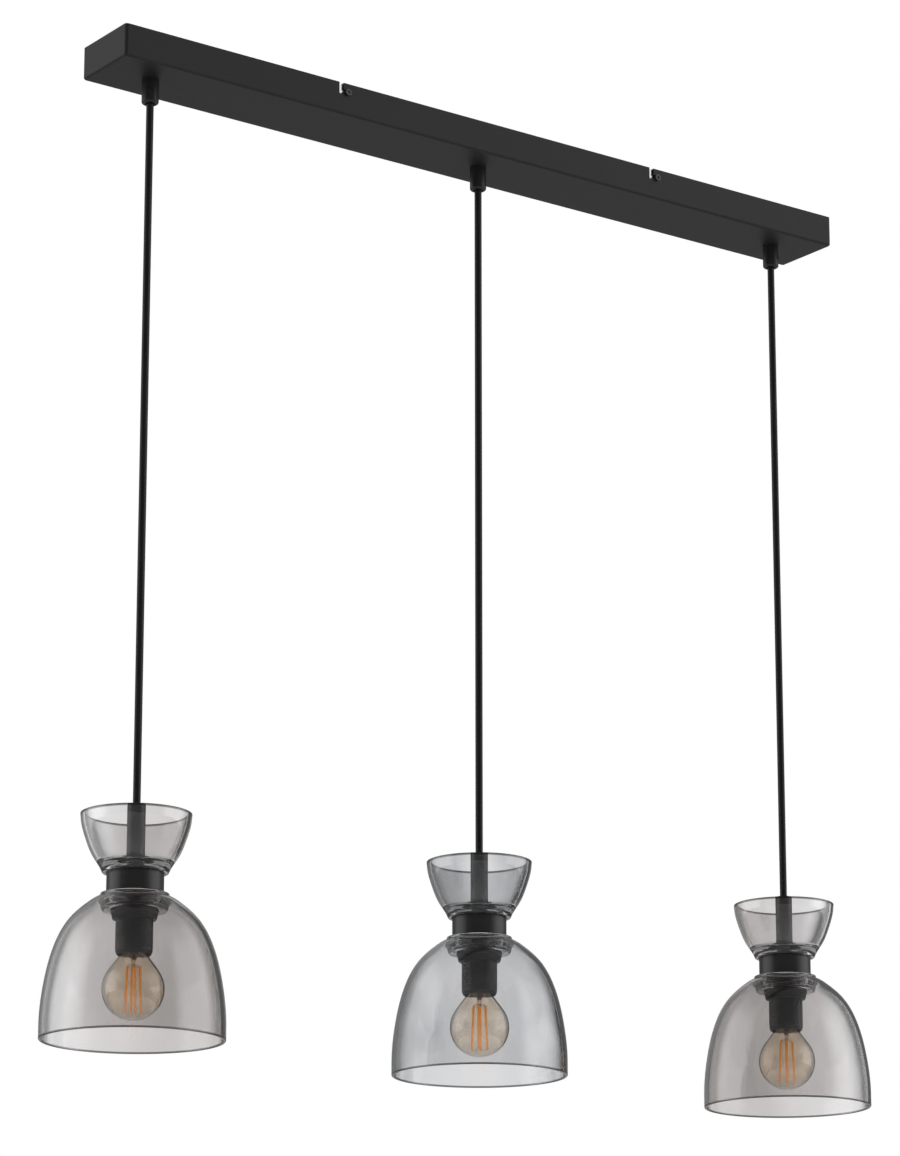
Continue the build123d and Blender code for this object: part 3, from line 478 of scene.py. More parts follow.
def tint_and_painted_light_of(tree, where, parts, tones):
    """The film's tint with painted light and shade, by its distance in metres from the lamp's
    middle.
    """
    across = tree.nodes.new("ShaderNodeVectorMath")
    across.operation = "DOT_PRODUCT"
    across.inputs[1].default_value = ACROSS
    cloud = tree.nodes.new("ShaderNodeTexNoise")
    cloud.inputs["Scale"].default_value = CLOUD_SCALE
    join_all(tree, (where, "Object", across, 0), (where, "Object", cloud, "Vector"))
    out_from_middle = math_node(tree, "ABSOLUTE", (across, "Value"))
    drift = ramp_node(tree, cloud, 0, 0, 1, -CLOUD_DRIFT, CLOUD_DRIFT)
    clouded = combine(tree, "ADD", out_from_middle, drift)
    raised = ramp_node(tree, parts, "Z", *CUP_START, 0, CUP_PAINTED_LIGHT_SHIFT)
    shifted = combine(tree, "ADD", clouded, raised)
    tint_with_painted_light = tree.nodes.new("ShaderNodeValToRGB")
    tint_with_painted_light.color_ramp.interpolation = "EASE"
    stops = tint_with_painted_light.color_ramp.elements
    while len(stops) < len(tones):
        stops.new(0.5)
    for stop, (place, colour) in zip(stops, tones):
        stop.position = place
        stop.color = (*colour, 1)
    join(tree, shifted, 0, tint_with_painted_light, 0)
    return tint_with_painted_light


print("film: clouds drift by", CLOUD_DRIFT, "m and cups by", CUP_PAINTED_LIGHT_SHIFT, "m")

# %% [markdown]
# A wall that is looked at edge on shows far more film than one that is faced, and a rim shows its
# whole thickness. That is why a clear glass is drawn by thin dark lines. The lines are made from
# the angle to the wall and from a narrow band at each rim's height.

# %% Where the glass is seen edge on
EDGE_START, EDGE_END = 0.72, 0.93
CUP_RIM = 160.4
RIM_BAND = 1.3 * MM
rim_heights = (axes["middle"].z, axes["middle"].z + CUP_RIM * MM)


def edge_share(tree, parts, edge_tone, rims):
    """The share of the film's tone that is left: less on edges and near the rims."""
    graze = tree.nodes.new("ShaderNodeLayerWeight")
    share = ramp_node(tree, graze, "Facing", EDGE_START, EDGE_END, 1, edge_tone)
    for rim in rims:
        near_rim = math_node(tree, "COMPARE", (parts, "Z"), rim)
        near_rim.inputs[2].default_value = RIM_BAND
        band = ramp_node(tree, near_rim, 0, 0, 1, 1, edge_tone)
        share = combine(tree, "MULTIPLY", share, band)
    return share


print("rims at", [round(height, 4) for height in rim_heights])

# %% [markdown]
# The builder joins film and edge to a clear, slightly wavy glass. Blown glass is never quite
# even, so a slow bump, drawn out upwards, bends what is seen through it. The body takes a little
# light along its way, which shows where a rim or an edge is looked into lengthways.

# %% A builder for glass
GLASS_IOR = 1.5
COAT_ROUGHNESS = 0.02
WAVE_STRETCH = (1.0, 1.0, 0.35)
WAVE_DETAIL = 1.0


def glass_of(name, tones, edge_tone, body_tint, body_density, wave, wave_depth, coat=0.0, rims=()):
    """Clear glass: a clouded film with painted light and shade and a slow wave on its surface,
    round a body that takes light.
    """
    material = bpy.data.materials.new(name)
    material.use_nodes = True
    tree = material.node_tree
    skin = tree.nodes["Principled BSDF"]
    for entry, value in (("Transmission Weight", 1.0), ("Roughness", 0.0), ("IOR", GLASS_IOR),
                         ("Coat Weight", coat), ("Coat Roughness", COAT_ROUGHNESS)):
        skin.inputs[entry].default_value = value
    where = tree.nodes.new("ShaderNodeTexCoord")
    drawn = tree.nodes.new("ShaderNodeMapping")
    drawn.inputs["Scale"].default_value = WAVE_STRETCH
    slow = tree.nodes.new("ShaderNodeTexNoise")
    slow.inputs["Scale"].default_value = wave
    slow.inputs["Detail"].default_value = WAVE_DETAIL
    relief = tree.nodes.new("ShaderNodeBump")
    relief.inputs["Strength"].default_value = 1.0
    relief.inputs["Distance"].default_value = wave_depth
    parts = tree.nodes.new("ShaderNodeSeparateXYZ")
    join(tree, where, "Object", parts, 0)
    tint_with_painted_light = tint_and_painted_light_of(tree, where, parts, tones)
    share = edge_share(tree, parts, edge_tone, rims)
    deepened = tree.nodes.new("ShaderNodeVectorMath")
    deepened.operation = "SCALE"
    depth = tree.nodes.new("ShaderNodeVolumeAbsorption")
    depth.inputs["Color"].default_value = (*body_tint, 1)
    depth.inputs["Density"].default_value = body_density
    join_all(tree, (where, "Object", drawn, "Vector"), (drawn, "Vector", slow, "Vector"),
             (slow, 0, relief, "Height"), (relief, "Normal", skin, "Normal"),
             (tint_with_painted_light, 0, deepened, 0), (share, 0, deepened, "Scale"),
             (deepened, 0, skin, "Base Color"),
             (depth, 0, tree.nodes["Material Output"], "Volume"))
    return material


print("glass builder ready")

# %% [markdown]
# Three glasses follow. The smoke glass carries painted light and shade: it is pale in the very
# middle, deepest just beside it, and clears towards the ends of the row. The bulb's amber is in its
# glass and not in a film, so it is deeper where the wall is seen edge on, and a coat adds the sharp
# shine of thin new glass. The post inside the bulb is plain clear glass.

# %% Glass finishes
# Smoke tint with painted light and shade, set by distance from the lamp's middle.
SMOKE_TINT_AND_PAINTED_LIGHT = (
    (0.01, (0.79, 0.79, 0.80)), (0.03, (0.76, 0.765, 0.775)), (0.065, (0.48, 0.485, 0.495)),
    (0.18, (0.58, 0.56, 0.55)), (0.22, (0.62, 0.60, 0.59)), (0.26, (0.73, 0.71, 0.705)),
    (0.30, (0.82, 0.815, 0.815)))
AMBER_TONES = ((0.0, (0.985, 0.965, 0.93)), (0.35, (0.98, 0.95, 0.90)))
CLEAR_TONES = ((0.0, (0.97, 0.97, 0.97)), (0.35, (0.95, 0.95, 0.95)))

smoke_glass = glass_of(
    "smoke_glass", SMOKE_TINT_AND_PAINTED_LIGHT, edge_tone=0.22, body_tint=(0.45, 0.45, 0.46), body_density=45.0,
    wave=14.0, wave_depth=0.15 * MM, rims=rim_heights)
amber_glass = glass_of(
    "amber_bulb_glass", AMBER_TONES, edge_tone=0.5, body_tint=(0.72, 0.50, 0.16),
    body_density=240.0, wave=40.0, wave_depth=0.1 * MM, coat=1.0)
clear_glass = glass_of(
    "clear_stem_glass", CLEAR_TONES, edge_tone=0.8, body_tint=(0.9, 0.9, 0.9), body_density=10.0,
    wave=60.0, wave_depth=0.1 * MM)
print("glasses:", smoke_glass.name, amber_glass.name, clear_glass.name)

# %% [markdown]
# ## Cables
# Each pendant hangs on one straight round cable, from the mouth of its grip to the bush in its
# stem. The photograph shows it from end to end. A cylinder would look the same, but a curve with
# a round bevel keeps the cable's length measurable. It is straight, so four points evenly on the
# line between the two joints are enough.

# %% Hang the cables
CABLE_DIAMETER = 5.5 * MM
CABLE_POINTS = (0.0, 0.33, 0.67, 1.0)

pivots = {joint["name"]: Vector(joint["pos_m"])
          for joint in frame["joints"] if joint["type"] == "hinge"}
for side in SIDES:
    top = pivots[f"{side}_cable_swing"]
    low = pivots[f"{side}_stem_tilt"]
    line = bpy.data.curves.new(f"{side}_hanging_cable", "CURVE")
    line.dimensions = "3D"
    line.bevel_depth = CABLE_DIAMETER / 2
    line.bevel_resolution = 8
    line.resolution_u = 24
    line.use_fill_caps = True
    run = line.splines.new("NURBS")
    run.points.add(len(CABLE_POINTS) - 1)
    for point, share in zip(run.points, CABLE_POINTS):
        point.co = (*top.lerp(low, share), 1)
    run.order_u = 3
    run.use_endpoint_u = True
    line.materials.append(cable_sheath)
    cable = bpy.data.objects.new(f"{side}_hanging_cable", line)
    bpy.context.collection.objects.link(cable)
    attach(cable, f"{side}_cable")
    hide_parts(f"{side}_cable")
    print(side, "cable:", round((top - low).length / MM, 1), "mm")

# %% [markdown]
# ## Turned pieces
# Bell, cup, collar, stem, lampholder and bulb are all bodies of revolution. They could be turned
# with a modifier, but its seam and poles would need closing afterwards. A closed outline of radii
# and heights, turned by one helper, keeps the walls closed and the faces pointing outwards.
# Outlines are in millimetres above the bell's rim, and run so that the solid is on their left: up
# the outside and down the inside. The first helpers draw a blown wall: a smooth line through a
# few measured points, and the same line one wall's thickness further in.

# %% Helpers for a blown wall
def smooth_line(points, first_way, last_way, steps=8):
    """Points on a smooth line through given ones, leaving and arriving along two directions."""
    points = np.array(points, float)
    gaps = np.linalg.norm(np.diff(points, axis=0), axis=1)
    rows = np.eye(len(points))
    right = np.zeros_like(points)
    right[0] = np.array(first_way) / np.linalg.norm(first_way)
    right[-1] = np.array(last_way) / np.linalg.norm(last_way)
    for i in range(1, len(points) - 1):
        before, after = gaps[i - 1], gaps[i]
        rows[i, i - 1:i + 2] = (after, 2 * (before + after), before)
        right[i] = 3 * (after / before * (points[i] - points[i - 1])
                        + before / after * (points[i + 1] - points[i]))
    ways = np.linalg.solve(rows, right)
    line = []
    for i, gap in enumerate(gaps):
        for t in np.linspace(0, 1, steps, endpoint=False):
            leaving = (2 * t**3 - 3 * t**2 + 1) * points[i] + (t**3 - 2 * t**2 + t) * gap * ways[i]
            line.append(leaving + (3 * t**2 - 2 * t**3) * points[i + 1]
                        + (t**3 - t**2) * gap * ways[i + 1])
    line.append(points[-1])
    return [tuple(p) for p in line]


def inside_of(line, wall):
    """The same line moved a wall's thickness to its left, which is into the solid."""
    line = np.array(line)
    run = np.concatenate([[0], np.cumsum(np.linalg.norm(np.diff(line, axis=0), axis=1))])
    ways = np.gradient(line, run, axis=0, edge_order=2)
    ways /= np.linalg.norm(ways, axis=1)[:, None]
    return [(p[0] - way[1] * wall, p[1] + way[0] * wall) for p, way in zip(line, ways)]


print("wall helpers ready")

# %% [markdown]
# Fire-polished rims and broken metal edges are round. A bevel on the whole mesh would round them
# all alike, so each corner of an outline carries its own radius. Smooth shading blends the normals
# of a tall flat into the rounding beside it, and in glass that blend acts as a lens. A guard point
# just beside each rounding stops it.

# %% A helper for round corners
GUARD = 0.3
GUARD_SHARE = 0.08
REACH_SHARE = 0.4


def round_corners(outline, steps=5):
    """An outline whose points may carry a third number, the radius that rounds that corner."""
    done = []
    count = len(outline)
    for i, point in enumerate(outline):
        here = Vector(point[:2])
        if len(point) == 2:
            done.append(tuple(here))
            continue
        back = Vector(outline[i - 1][:2]) - here
        ahead = Vector(outline[(i + 1) % count][:2]) - here
        half = back.angle(ahead) / 2
        reach = min(point[2] / math.tan(half), REACH_SHARE * back.length,
                    REACH_SHARE * ahead.length)
        start = here + back.normalized() * reach
        end = here + ahead.normalized() * reach
        middle = (start + end) / 2
        centre = here + (middle - here).normalized() * reach / math.cos(half)
        radius = (start - centre).length
        done.append(tuple(start + back.normalized() * min(GUARD, GUARD_SHARE * back.length)))
        for step in range(steps + 1):
            ray = (start - centre).lerp(end - centre, step / steps)
            done.append(tuple(centre + ray.normalized() * radius))
        done.append(tuple(end + ahead.normalized() * min(GUARD, GUARD_SHARE * ahead.length)))
    return done


print("corner helper ready, with guard points", GUARD, "mm from a rounding")

# %% [markdown]
# The last two helpers turn an outline and put a finished mesh in its place. Every piece gets the
# same three things: a finish, the body it rides on, and the packed nodes that it stands for. Edges
# sharper than 40 degrees stay sharp, and the rest is smooth.

# %% Helpers that turn an outline and add a piece
SHARP_EDGE = math.radians(40)


def turn(name, outline, axis, segments=144):
    """A mesh turned from a closed outline in mm. An outline may start and end on the axis."""
    poles = outline[0][0] < 1e-6 and outline[-1][0] < 1e-6
    ring_points = outline[1:-1] if poles else outline
    verts = []
    for radius, height in ring_points:
        for step in range(segments):
            angle = 2 * math.pi * step / segments
            spot = Vector((radius * math.cos(angle), radius * math.sin(angle), height))
            verts.append(axis + spot * MM)
    faces = []
    rows = len(ring_points)
    for row in range(rows - 1 if poles else rows):
        for step in range(segments):
            a, b = row * segments, (row + 1) % rows * segments
            after = (step + 1) % segments
            faces.append((a + step, a + after, b + after, b + step))
    if poles:
        first, last = len(verts), len(verts) + 1
        verts += [axis + Vector((0, 0, end[1])) * MM for end in (outline[0], outline[-1])]
        top_row = (rows - 1) * segments
        for step in range(segments):
            after = (step + 1) % segments
            faces.append((first, after, step))
            faces.append((last, top_row + step, top_row + after))
    mesh = bpy.data.meshes.new(name)
    mesh.from_pydata([tuple(v) for v in verts], [], faces)
    mesh.polygons.foreach_set("use_smooth", [True] * len(faces))
    mesh.set_sharp_from_angle(angle=SHARP_EDGE)
    return mesh


def add_piece(name, mesh, material, body, slot, *nodes):
    """Link a finished mesh as a piece: its finish, its body and the nodes it replaces. The slot is
    not used.
    """
    mesh.materials.clear()
    mesh.materials.append(material)
    piece = bpy.data.objects.new(name, mesh)
    bpy.context.collection.objects.link(piece)
    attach(piece, body)
    if nodes:
        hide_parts(*nodes)
    return piece


print("turning helpers ready")

# %% [markdown]
# ## Bell
# The bell is blown smoke glass, open below. Its top is drawn down into a well with a hole, where
# the lampholder's flange rests. A single skin with a Solidify modifier would be quicker, but the
# well and the fire-polished rim have their own thicknesses. So the outline has both surfaces, as
# thick in the mesh as on the real bell, because refraction depends on it.

# %% Turn the bells
BELL_RADIUS = 65.0
BELL_WALL = 2.5
BELL_STRAIGHT = 10.0
BELL_TOP = 103.3
BELL_DOME = [(62.2, 40.0), (56.0, 65.0), (45.3, 85.0), (33.6, 95.9), (25.4, 100.9)]
BELL_RIM_ROUND = 1.2
LIP_RADIUS = 24.2
WELL_RADIUS = 18.4
WELL_OUTSIDE = 23.0
WELL_FLOOR = 95.0
WELL_UNDER = 91.5
WELL_FILLET = 3.7
BELL_HOLE = 14.1

outer_dome = smooth_line([(BELL_RADIUS, BELL_STRAIGHT)] + BELL_DOME, (0, 1), (-1, 0.35), steps=16)
inner_dome = [p for p in inside_of(outer_dome, BELL_WALL) if p[0] > WELL_OUTSIDE + WELL_FILLET]
bell_outline = round_corners(
    [(BELL_RADIUS, 0, BELL_RIM_ROUND), *outer_dome, (23.4, 101.7, 0.4), (LIP_RADIUS, 102.5, 0.5),
     (LIP_RADIUS, BELL_TOP, 0.7), (WELL_RADIUS, BELL_TOP, 0.8), (WELL_RADIUS, WELL_FLOOR, 0.6),
     (BELL_HOLE, WELL_FLOOR, 0.4), (BELL_HOLE, WELL_UNDER, 0.4), (WELL_OUTSIDE, WELL_UNDER, 1.6),
     (WELL_OUTSIDE + 2.0, 97.8, 0.8), *inner_dome[::-1],
     (BELL_RADIUS - BELL_WALL, 0, BELL_RIM_ROUND)])
for side in SIDES:
    bell = turn(f"{side}_bell", bell_outline, axes[side], segments=160)
    add_piece(f"{side}_bell", bell, smoke_glass, f"{side}_pendant", "smoke_glass",
              f"{side}_bell_glass")
print("bell:", len(bell_outline), "points in the outline,", len(bell.polygons), "faces")

# %% [markdown]
# ## Cup
# Above the bell stands a small cone of the same glass, open upwards. Its thick foot sits over
# the collar, and its floor is clamped between two washers under the stem. It is made as the bell
# is, with a thicker wall and a bored floor.

# %% Turn the cups
CUP_WALL = 3.0
CUP_RADIUS = 39.3
CUP_SIDE = [(25.0, 122.0), (31.2, 132.0), (35.4, 142.5), (38.7, 154.5), (CUP_RADIUS, CUP_RIM)]
CUP_RIM_ROUND = 1.2
CUP_FOOT = 118.0
CUP_FLOOR = (121.8, 125.8)
CUP_FLOOR_FILLET = 1.5
CUP_BORE = 5.1

outer_cup = smooth_line(CUP_SIDE, (6, 10), (0.5, 6), steps=12)
inner_cup = [p for p in inside_of(outer_cup, CUP_WALL) if p[1] > CUP_FLOOR[1] + CUP_FLOOR_FILLET]
cup_outline = round_corners(
    [(23.2, CUP_FOOT, 1.0), *outer_cup[:-1], (CUP_RADIUS, CUP_RIM, CUP_RIM_ROUND),
     (36.3, CUP_RIM, CUP_RIM_ROUND), *inner_cup[-2::-1], (22.6, CUP_FLOOR[1], 0.9),
     (CUP_BORE, CUP_FLOOR[1]), (CUP_BORE, CUP_FLOOR[0]), (20.6, CUP_FLOOR[0], 0.4),
     (20.6, CUP_FOOT, 0.8)])
for side in SIDES:
    cup = turn(f"{side}_cup", cup_outline, axes[side], segments=144)
    add_piece(f"{side}_cup", cup, smoke_glass, f"{side}_pendant", "smoke_glass",
              f"{side}_cup_glass")
print("cup:", len(cup_outline), "points in the outline,", len(cup.polygons), "faces")

# %% [markdown]
# ## Collar and stem
# The collar is a short black drum that stands on the bell's lip and hides the lampholder's cap.
# The stem is a thin tube that clamps the cup and holds the cable. Two cylinders would do for
# their shape, but both are lacquered metal with small broken edges, which catch a thin line of
# light. So they are turned too.

# %% Turn the collars and stems
COLLAR_RADIUS = 20.2
COLLAR_INSIDE = 18.7
COLLAR_FOOT, COLLAR_ROOF, COLLAR_TOP = 103.4, 119.5, 121.0
TUBE_BORE = 5.1
STEM_RADIUS = 6.5
STEM_FOOT, STEM_TOP = 126.6, 167.0

collar_outline = round_corners(
    [(COLLAR_INSIDE, COLLAR_FOOT), (COLLAR_RADIUS, COLLAR_FOOT, 0.3),
     (COLLAR_RADIUS, COLLAR_TOP, 0.9), (TUBE_BORE, COLLAR_TOP), (TUBE_BORE, COLLAR_ROOF),
     (COLLAR_INSIDE, COLLAR_ROOF)])
stem_outline = round_corners(
    [(TUBE_BORE, STEM_FOOT), (STEM_RADIUS, STEM_FOOT, 0.25), (STEM_RADIUS, STEM_TOP, 1.1),
     (TUBE_BORE, STEM_TOP, 0.2)])
for side in SIDES:
    body = f"{side}_pendant"
    collar = turn(f"{side}_collar_drum", collar_outline, axes[side], segments=128)
    add_piece(f"{side}_collar_drum", collar, turned_black, body, "black_metal", f"{side}_collar")
    stem = turn(f"{side}_stem", stem_outline, axes[side], segments=96)
    add_piece(f"{side}_stem", stem, turned_black, body, "black_metal", f"{side}_stem_tube")
print("collar and stem:", len(collar.polygons) + len(stem.polygons), "faces")

# %% [markdown]
# ## Lampholder
# The holder is a black moulded sleeve with a flange that rests in the bell's well, and a grooved
# cap above it inside the collar. Its lower part carries the thread that the shade ring runs on.
# The thread is a piece of its own, so the turned sleeve can stay smooth where it runs.

# %% Turn the lampholders
HOLDER_RADIUS = 13.5
THREADED_RADIUS = 13.1
FLANGE_RADIUS = 17.2
HOLDER_CAP_RADIUS = 16.4
GROOVE_RADIUS = 15.9
SOCKET_MOUTH, SOCKET_BORE, CONTACT_HOLE = 11.7, 8.3, 2.95
WIRE_CHAMBER = 11.0
NIPPLE_HOLE = 5.05

holder_outline = round_corners(
    [(SOCKET_MOUTH, 60.0, 0.2), (12.1, 60.0, 0.2), (THREADED_RADIUS, 62.6, 0.8),
     (THREADED_RADIUS, 84.0, 0.2), (HOLDER_RADIUS, 84.4, 0.1), (HOLDER_RADIUS, 95.1),
     (FLANGE_RADIUS, 95.1, 0.3), (FLANGE_RADIUS, 97.5, 0.3), (HOLDER_CAP_RADIUS, 97.7, 0.2),
     (HOLDER_CAP_RADIUS, 99.6, 0.2), (GROOVE_RADIUS, 99.8, 0.2), (GROOVE_RADIUS, 100.8, 0.2),
     (HOLDER_CAP_RADIUS, 101.0, 0.2), (HOLDER_CAP_RADIUS, 111.0, 1.0), (8.0, 116.0), (8.0, 119.4),
     (NIPPLE_HOLE, 119.4), (NIPPLE_HOLE, 111.0), (WIRE_CHAMBER, 109.2), (WIRE_CHAMBER, 93.2),
     (CONTACT_HOLE, 93.2), (CONTACT_HOLE, 90.2), (SOCKET_BORE, 90.2), (SOCKET_BORE, 70.45),
     (SOCKET_MOUTH, 70.4)])
for side in SIDES:
    holder = turn(f"{side}_holder", holder_outline, axes[side], segments=128)
    add_piece(f"{side}_holder", holder, holder_plastic, f"{side}_pendant", "holder_plastic",
              f"{side}_lampholder")
print("holder:", len(holder.polygons), "faces")

# %% [markdown]
# ## Repeated forms
# Threads, ribs and filament beads repeat. Geometry Nodes build each from a few named sizes. One
# helper makes a tree with its inputs, and another runs it and keeps the result as a plain mesh,
# because the export reads meshes and not modifiers.

# %% Helpers for geometry trees
FLOAT, COUNT, FINISH = "NodeSocketFloat", "NodeSocketInt", "NodeSocketMaterial"


def start_tree(name, **inputs):
    """A geometry tree with named inputs, its input node, and a function that ends it."""
    tree = bpy.data.node_groups.new(name, "GeometryNodeTree")
    tree.interface.new_socket("Geometry", in_out="OUTPUT", socket_type="NodeSocketGeometry")
    for label, kind in inputs.items():
        tree.interface.new_socket(label, in_out="INPUT", socket_type=kind)
    tree.interface.new_socket("finish", in_out="INPUT", socket_type=FINISH)
    given = tree.nodes.new("NodeGroupInput")

    def end(node, output=0):
        """Make the instances real, smooth them and give them their finish."""
        real = tree.nodes.new("GeometryNodeRealizeInstances")
        soft = tree.nodes.new("GeometryNodeSetShadeSmooth")
        paint = tree.nodes.new("GeometryNodeSetMaterial")
        result = tree.nodes.new("NodeGroupOutput")
        join_all(tree, (node, output, real, 0), (real, 0, soft, 0), (soft, 0, paint, 0),
                 (given, "finish", paint, "Material"), (paint, 0, result, 0))

    return tree, given, end


def run_tree(tree, axis, **values):
    """The mesh that a tree makes from these values, moved to an axis."""
    maker = bpy.data.objects.new("maker", bpy.data.meshes.new("maker"))
    bpy.context.collection.objects.link(maker)
    nodes = maker.modifiers.new("nodes", "NODES")
    nodes.node_group = tree
    for item in tree.interface.items_tree:
        if item.in_out == "INPUT":
            nodes[item.identifier] = values[item.name]
    graph = bpy.context.evaluated_depsgraph_get()
    mesh = bpy.data.meshes.new_from_object(maker.evaluated_get(graph))
    bpy.data.objects.remove(maker)
    for vert in mesh.vertices:
        vert.co += axis
    return mesh


def above_rim(side, height):
    """A point on a pendant's axis, this many mm above its bell's rim."""
    return axes[side] + Vector((0, 0, height)) * MM


print("tree helpers ready")

# %% [markdown]
# The holder's thread and the bulb's thread are both stacks of fine rounded turns. Rings one above
# the other would look alike from afar. A spiral with a small round section makes a real helix, so
# the turns climb as a screw does.

# %% The thread tree
SECTION_POINTS = 8

thread_tree, given, end_tree = start_tree(
    "screw_thread", turns=FLOAT, steps=COUNT, radius=FLOAT, height=FLOAT, section=FLOAT)
helix = thread_tree.nodes.new("GeometryNodeCurveSpiral")
section = thread_tree.nodes.new("GeometryNodeCurvePrimitiveCircle")
section.inputs["Resolution"].default_value = SECTION_POINTS
skin = thread_tree.nodes.new("GeometryNodeCurveToMesh")
skin.inputs["Fill Caps"].default_value = True
join_all(
    thread_tree,
    (given, "turns", helix, "Rotations"), (given, "steps", helix, "Resolution"),
    (given, "radius", helix, "Start Radius"), (given, "radius", helix, "End Radius"),
    (given, "height", helix, "Height"), (given, "section", section, "Radius"),
    (helix, 0, skin, "Curve"), (section, 0, skin, "Profile Curve"))
end_tree(skin)
print("thread tree:", len(thread_tree.nodes), "nodes")

# %% Cut the holders' threads
HOLDER_THREAD_FOOT = 64.5
HOLDER_THREAD = {"turns": 12.5, "steps": 64, "radius": 12.95 * MM, "height": 19.0 * MM,
                 "section": 0.36 * MM}

for side in SIDES:
    thread = run_tree(thread_tree, above_rim(side, HOLDER_THREAD_FOOT), **HOLDER_THREAD,
                      finish=holder_plastic)
    add_piece(f"{side}_holder_thread", thread, holder_plastic, f"{side}_pendant", "holder_plastic")
print("holder thread:", len(thread.polygons), "faces")

# %% [markdown]
# ## Shade ring
# A ring under the glass clamps the bell to the holder. Its side tapers, and fine upright ribs
# give fingers a hold. The ring is turned, and the ribs are a tree: one thin bar, repeated on a
# circle and leaned outwards to follow the taper.

# %% The rib tree
RIB_SIDES = 8

rib_tree, given, end_tree = start_tree(
    "grip_ribs", count=COUNT, radius=FLOAT, length=FLOAT, width=FLOAT, lean=FLOAT)
spots = rib_tree.nodes.new("GeometryNodeMeshCircle")
rib = rib_tree.nodes.new("GeometryNodeMeshCylinder")
rib.inputs["Vertices"].default_value = RIB_SIDES
ring_of = rib_tree.nodes.new("GeometryNodeInstanceOnPoints")
spot = rib_tree.nodes.new("GeometryNodeInputPosition")
outward = rib_tree.nodes.new("ShaderNodeVectorMath")
outward.operation = "NORMALIZE"
tilted = rib_tree.nodes.new("ShaderNodeVectorMath")
tilted.operation = "SCALE"
upright = rib_tree.nodes.new("ShaderNodeVectorMath")
upright.operation = "ADD"
upright.inputs[1].default_value = (0, 0, 1)
turned = rib_tree.nodes.new("FunctionNodeAlignRotationToVector")
turned.axis = "Z"
join_all(
    rib_tree,
    (given, "count", spots, "Vertices"), (given, "radius", spots, "Radius"),
    (given, "width", rib, "Radius"), (given, "length", rib, "Depth"),
    (spot, 0, outward, 0), (outward, 0, tilted, 0), (given, "lean", tilted, "Scale"),
    (tilted, 0, upright, 0), (upright, 0, turned, "Vector"), (turned, 0, ring_of, "Rotation"),
    (spots, 0, ring_of, "Points"), (rib, 0, ring_of, "Instance"))
end_tree(ring_of)
print("rib tree:", len(rib_tree.nodes), "nodes")

# %% Make the shade rings
RING_BORE = 13.6
RING_RADIUS = 17.0
RING_FOOT, RING_TOP = 85.0, 91.4
RIBS_MIDDLE = 87.3
RIBS = {"count": 60, "radius": 15.72 * MM, "length": 3.8 * MM, "width": 0.28 * MM, "lean": 0.21}

ring_outline = round_corners(
    [(RING_BORE, RING_FOOT, 0.2), (15.3, RING_FOOT, 0.5), (16.2, 89.2, 0.2), (16.7, 89.6, 0.2),
     (RING_RADIUS, 89.9, 0.2), (RING_RADIUS, RING_TOP, 0.3), (RING_BORE, RING_TOP, 0.2)])
for side in SIDES:
    ring = turn(f"{side}_clamp_ring", ring_outline, axes[side], segments=128)
    add_piece(f"{side}_clamp_ring", ring, holder_plastic, f"{side}_ring", "holder_plastic",
              f"{side}_shade_ring")
    ribs = run_tree(rib_tree, above_rim(side, RIBS_MIDDLE), **RIBS, finish=holder_plastic)
    add_piece(f"{side}_ring_ribs", ribs, holder_plastic, f"{side}_ring", "holder_plastic")
print("ring and ribs:", len(ring.polygons) + len(ribs.polygons), "faces")

# %% [markdown]
# ## Bulb
# A round filament-style bulb: a thin amber envelope, a nickel cap with its thread, and inside it
# a clear glass stem that carries four upright filaments on fine wires. A scaled sphere would miss
# the shoulder, so the envelope's outline is a ball up to the shoulder and a smooth line from
# there to the throat.

# %% Blow the envelopes
BULB_RADIUS = 22.0
BULB_WALL = 0.8
BULB_CENTRE = 36.0
SHOULDER = math.radians(30)


def envelope_side(radius, neck, throat, steps=28):
    """The bulb's side from its lowest point to its throat, for the outer or the inner surface."""
    ball = [(0.0, BULB_CENTRE - radius)]
    for step in range(1, steps + 1):
        angle = -math.pi / 2 + (math.pi / 2 + SHOULDER) * step / steps
        ball.append((radius * math.cos(angle), BULB_CENTRE + radius * math.sin(angle)))
    way = (-math.sin(SHOULDER), math.cos(SHOULDER))
    return ball + smooth_line([ball[-1], neck, throat], way, (-0.6, 1))[1:]


outer_envelope = envelope_side(BULB_RADIUS, (9.9, 60.0), (6.4, 66.0))
inner_envelope = envelope_side(BULB_RADIUS - BULB_WALL, (9.1, 59.7), (5.6, 65.7))
for side in SIDES:
    bulb = turn(f"{side}_envelope", outer_envelope + inner_envelope[::-1], axes[side],
                segments=128)
    add_piece(f"{side}_envelope", bulb, amber_glass, f"{side}_bulb", "amber_glass",
              f"{side}_bulb_glass")
print("envelope:", len(bulb.polygons), "faces")

# %% [markdown]
# The cap is drawn sheet, with a collar round the envelope's throat and a contact at its tip. It
# is turned like the rest, and the thread tree winds its coarse thread.

# %% Make the bulb caps
CAP_RADIUS, CAP_INSIDE = 6.45, 5.8
CAP_COLLAR = 8.0
CONTACT_RADIUS = 2.3
CAP_TIP = 91.5
CAP_THREAD_FOOT = 69.6
CAP_THREAD = {"turns": 5.6, "steps": 64, "radius": 6.3 * MM, "height": 15.8 * MM,
              "section": 0.62 * MM}

